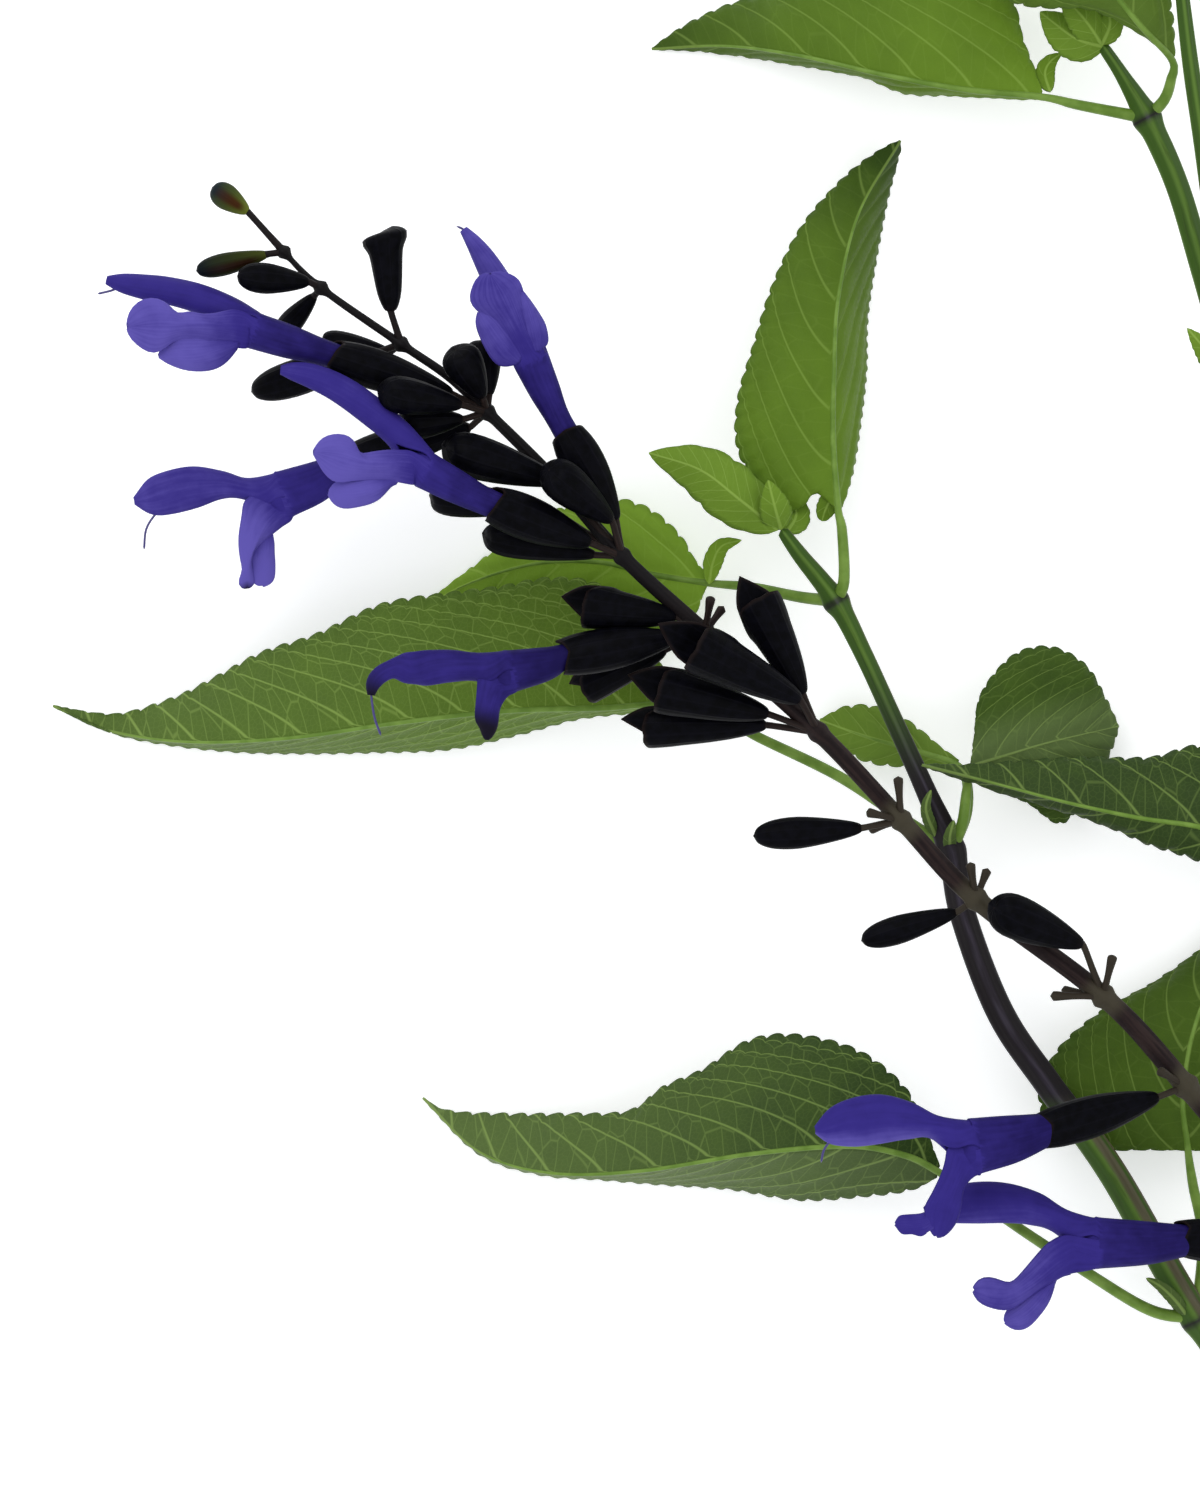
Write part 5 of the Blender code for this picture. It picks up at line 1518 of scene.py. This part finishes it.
# %% [markdown]
# A corolla is one petal tube that splits at its throat into two lips. The upper lip is a long
# hood, folded lengthwise so that its edges meet underneath, and the lower lip hangs away from it
# in lobes. Tube, hood and lip share the ring of points at the throat and merge into one skin. A
# round plug fills the throat, where the stalks of the stamens crowd together on the living flower.

# %% Sheets of a corolla
SHEET_SIZES = {"tube": (34, 72), "hood": (44, 40), "lip": (32, 32), "lobe": (22, 16), "plug": (12, 36)}
HOOD_HALF = math.pi * SHEET_SIZES["hood"][1] / SHEET_SIZES["tube"][1]
LIP_ROWS_POWER = 1.5
LIP_BLEND = 0.1
HOOD_BLEND = 0.09
HOOD_CLOSED_AT = 0.2
PLUG_SHARE = 0.97
PLUG_MM = 3.0


def corolla_sheets(flower, folded):
    """Kind and shape of each sheet of a corolla."""
    body, hint = tube_line(flower), lips_apart(flower)
    hood = through(in_metres(np.vstack([flower["tube"][-1:], flower["hood"]])))
    lip, *lobes = flower["petals"]
    lip_line = through(lip["rib"])

    def throat(angle):
        return ring(body, np.ones(len(angle)), angle, hint)

    def place_tube(along, around):
        return ring(body, along, 2 * math.pi * around, hint)

    def place_hood(along, across):
        turn, share = 2 * across - 1, smooth(along, 0.0, HOOD_BLEND)[:, None]
        half = HOOD_HALF + (math.pi - HOOD_HALF) * smooth(along, 0.0, HOOD_CLOSED_AT)
        carried = throat(turn * HOOD_HALF) + (hood(along) - hood(np.zeros(1)))[:, :3]
        return carried * (1 - share) + ring(hood, along, turn * half, hint) * share

    beside = throat(np.array([math.pi - 0.8, math.pi + 0.8])) - sheet((*lip["left"][0], lip["rib"][0, 2]))
    left_is_plus = np.linalg.norm(beside[1]) < np.linalg.norm(beside[0])

    def place_lip(along, across):
        along, turn = along**LIP_ROWS_POWER, 2 * across - 1
        held = throat(math.pi + turn * (math.pi - HOOD_HALF))
        carried = held + sheet(lip_line(along)) - sheet(lip_line(np.zeros(1)))
        unrolled = turn if left_is_plus else -turn
        free = folded_lip(lip, along, turn) if folded else lobe(lip, along, unrolled)
        share = smooth(along, 0.0, LIP_BLEND)[:, None]
        return carried * (1 - share) + free * share

    def place_plug(along, around):
        centre, forward = body(1.0)[:3], unit((body(1.0) - body(0.96))[:3])
        out = (throat(2 * math.pi * around) - centre) * (PLUG_SHARE * np.sin(math.pi * along))[:, None]
        return centre + out - np.outer(np.cos(math.pi * along) * PLUG_MM * MM, forward)

    sides = [("lobe", lambda along, across, petal=petal: lobe(petal, along, 2 * across - 1))
             for petal in lobes]
    return [("tube", place_tube), ("hood", place_hood), ("lip", place_lip), *sides, ("plug", place_plug)]


print("sheets of each corolla:", [len(corolla_sheets(flower, False)) for flower in FLOWERS])

# %% [markdown]
# The flowers are of different ages. `tone` lightens a whole flower, `hood` and `lip` one part of
# it, and `belly` the sides of the hood near its opening. `faded` is the brown of age, and
# `withered` says between which shares of its length a petal shrivels.

# %% Corollas
PETAL_MM = 0.4
WITHERED = 0.9
PLAIN_FLOWER = dict(folded=False, tone=0, hood=0, lip=0, belly=0, faded=0, withered={})
FLOWER_LOOKS = (
    dict(),
    dict(tone=0.06),
    dict(folded=True, tone=0.12, hood=0.06, withered={"lip": (0.93, 1.0)}),
    dict(tone=0.04, hood=0.25, lip=-0.2),
    dict(folded=True, faded=0.1, tone=-0.08, lip=-0.45, withered={"lip": (0.55, 0.85), "hood": (0.8, 1.0)}),
    dict(folded=True, lip=-0.4, belly=0.45),
    dict(folded=True, lip=-0.15, belly=0.2),
)


def petal_tone(kind, along, turn, look):
    """How light a sheet is at each point, from 0 deep down the tube to 1 on a pale lobe."""
    if kind == "tube":
        tone = 0.25 * along
    elif kind == "hood":
        belly = look["belly"] * smooth(turn, 0.45, 0.9) * smooth(along, 0.1, 0.4)
        tone = 0.36 + 0.1 * along + look["hood"] + belly
    elif kind == "lip":
        tone = 0.35 + (0.45 + look["lip"]) * smooth(along, 0.1, 0.7) + 0.1 * turn
    elif kind == "lobe":
        tone = 0.55 + (0.35 + look["lip"]) * smooth(along, 0.0, 0.6)
    else:
        tone = 0.3
    return tone + look["tone"]


def corolla(number, flower, look):
    parts = []
    for kind, place in corolla_sheets(flower, look["folded"]):
        rows, columns = SHEET_SIZES[kind]
        band = list(SHEET_SIZES).index(kind)
        part = bent_grid(f"corolla_{number}_{len(parts)}", rows, columns, place,
                         lambda along, across: (along + band, across), closed=kind == "plug")
        along, across = shares(rows, columns)
        faded = look["faded"]
        if kind in look["withered"]:
            faded = np.clip(faded + WITHERED * smooth(along, *look["withered"][kind]), 0, 1)
        paint(part, tone=petal_tone(kind, along, np.abs(2 * across - 1), look), faded=faded)
        parts.append(part)
    piece = joined(f"corolla_{number}_petals", parts)
    close_up(piece)
    apply(piece, "SMOOTH", factor=0.5, iterations=4)
    thicken(piece, PETAL_MM)
    piece.data.materials.append(corolla_skin)
    place_in_frame(piece, "corolla", f"corolla_{number}")


for number, (flower, look) in enumerate(zip(FLOWERS, FLOWER_LOOKS), start=1):
    corolla(number, flower, PLAIN_FLOWER | look)

# %% [markdown]
# The style is a thread that leads from the seed up through the hood, and its tip peeps out at the
# end of it. Five of the flowers show theirs.

# %% Styles
STYLE_MM = 0.17
STYLES = (
    "125 284 36  113 290 36  97 294 35.5",
    "165 505 24.5  154 516 24  146 530 24  144 550 24",
    "470 240 37  464 230 37  456 226 37",
    "378 678 35  371 685 35  374 715 35  381 736 35",
    "845 1128 35  839 1132 35  825 1148 35  821 1163 34",
)
# Style: a smooth thread of living cells, pale violet
style_skin = new_finish("sage_style")
dress(style_skin, Base_Color=linear("#3a3270"), Roughness=0.4)
threads = []
for k, text in enumerate(STYLES):
    points = sheet(table(text, 3))
    threads.append(tube(f"style_{k}", points, [STYLE_MM] * len(points), sides=8, pitch_mm=0.4))
    threads[-1].data.materials.append(style_skin)
place_in_frame(joined("styles", threads), "corolla")
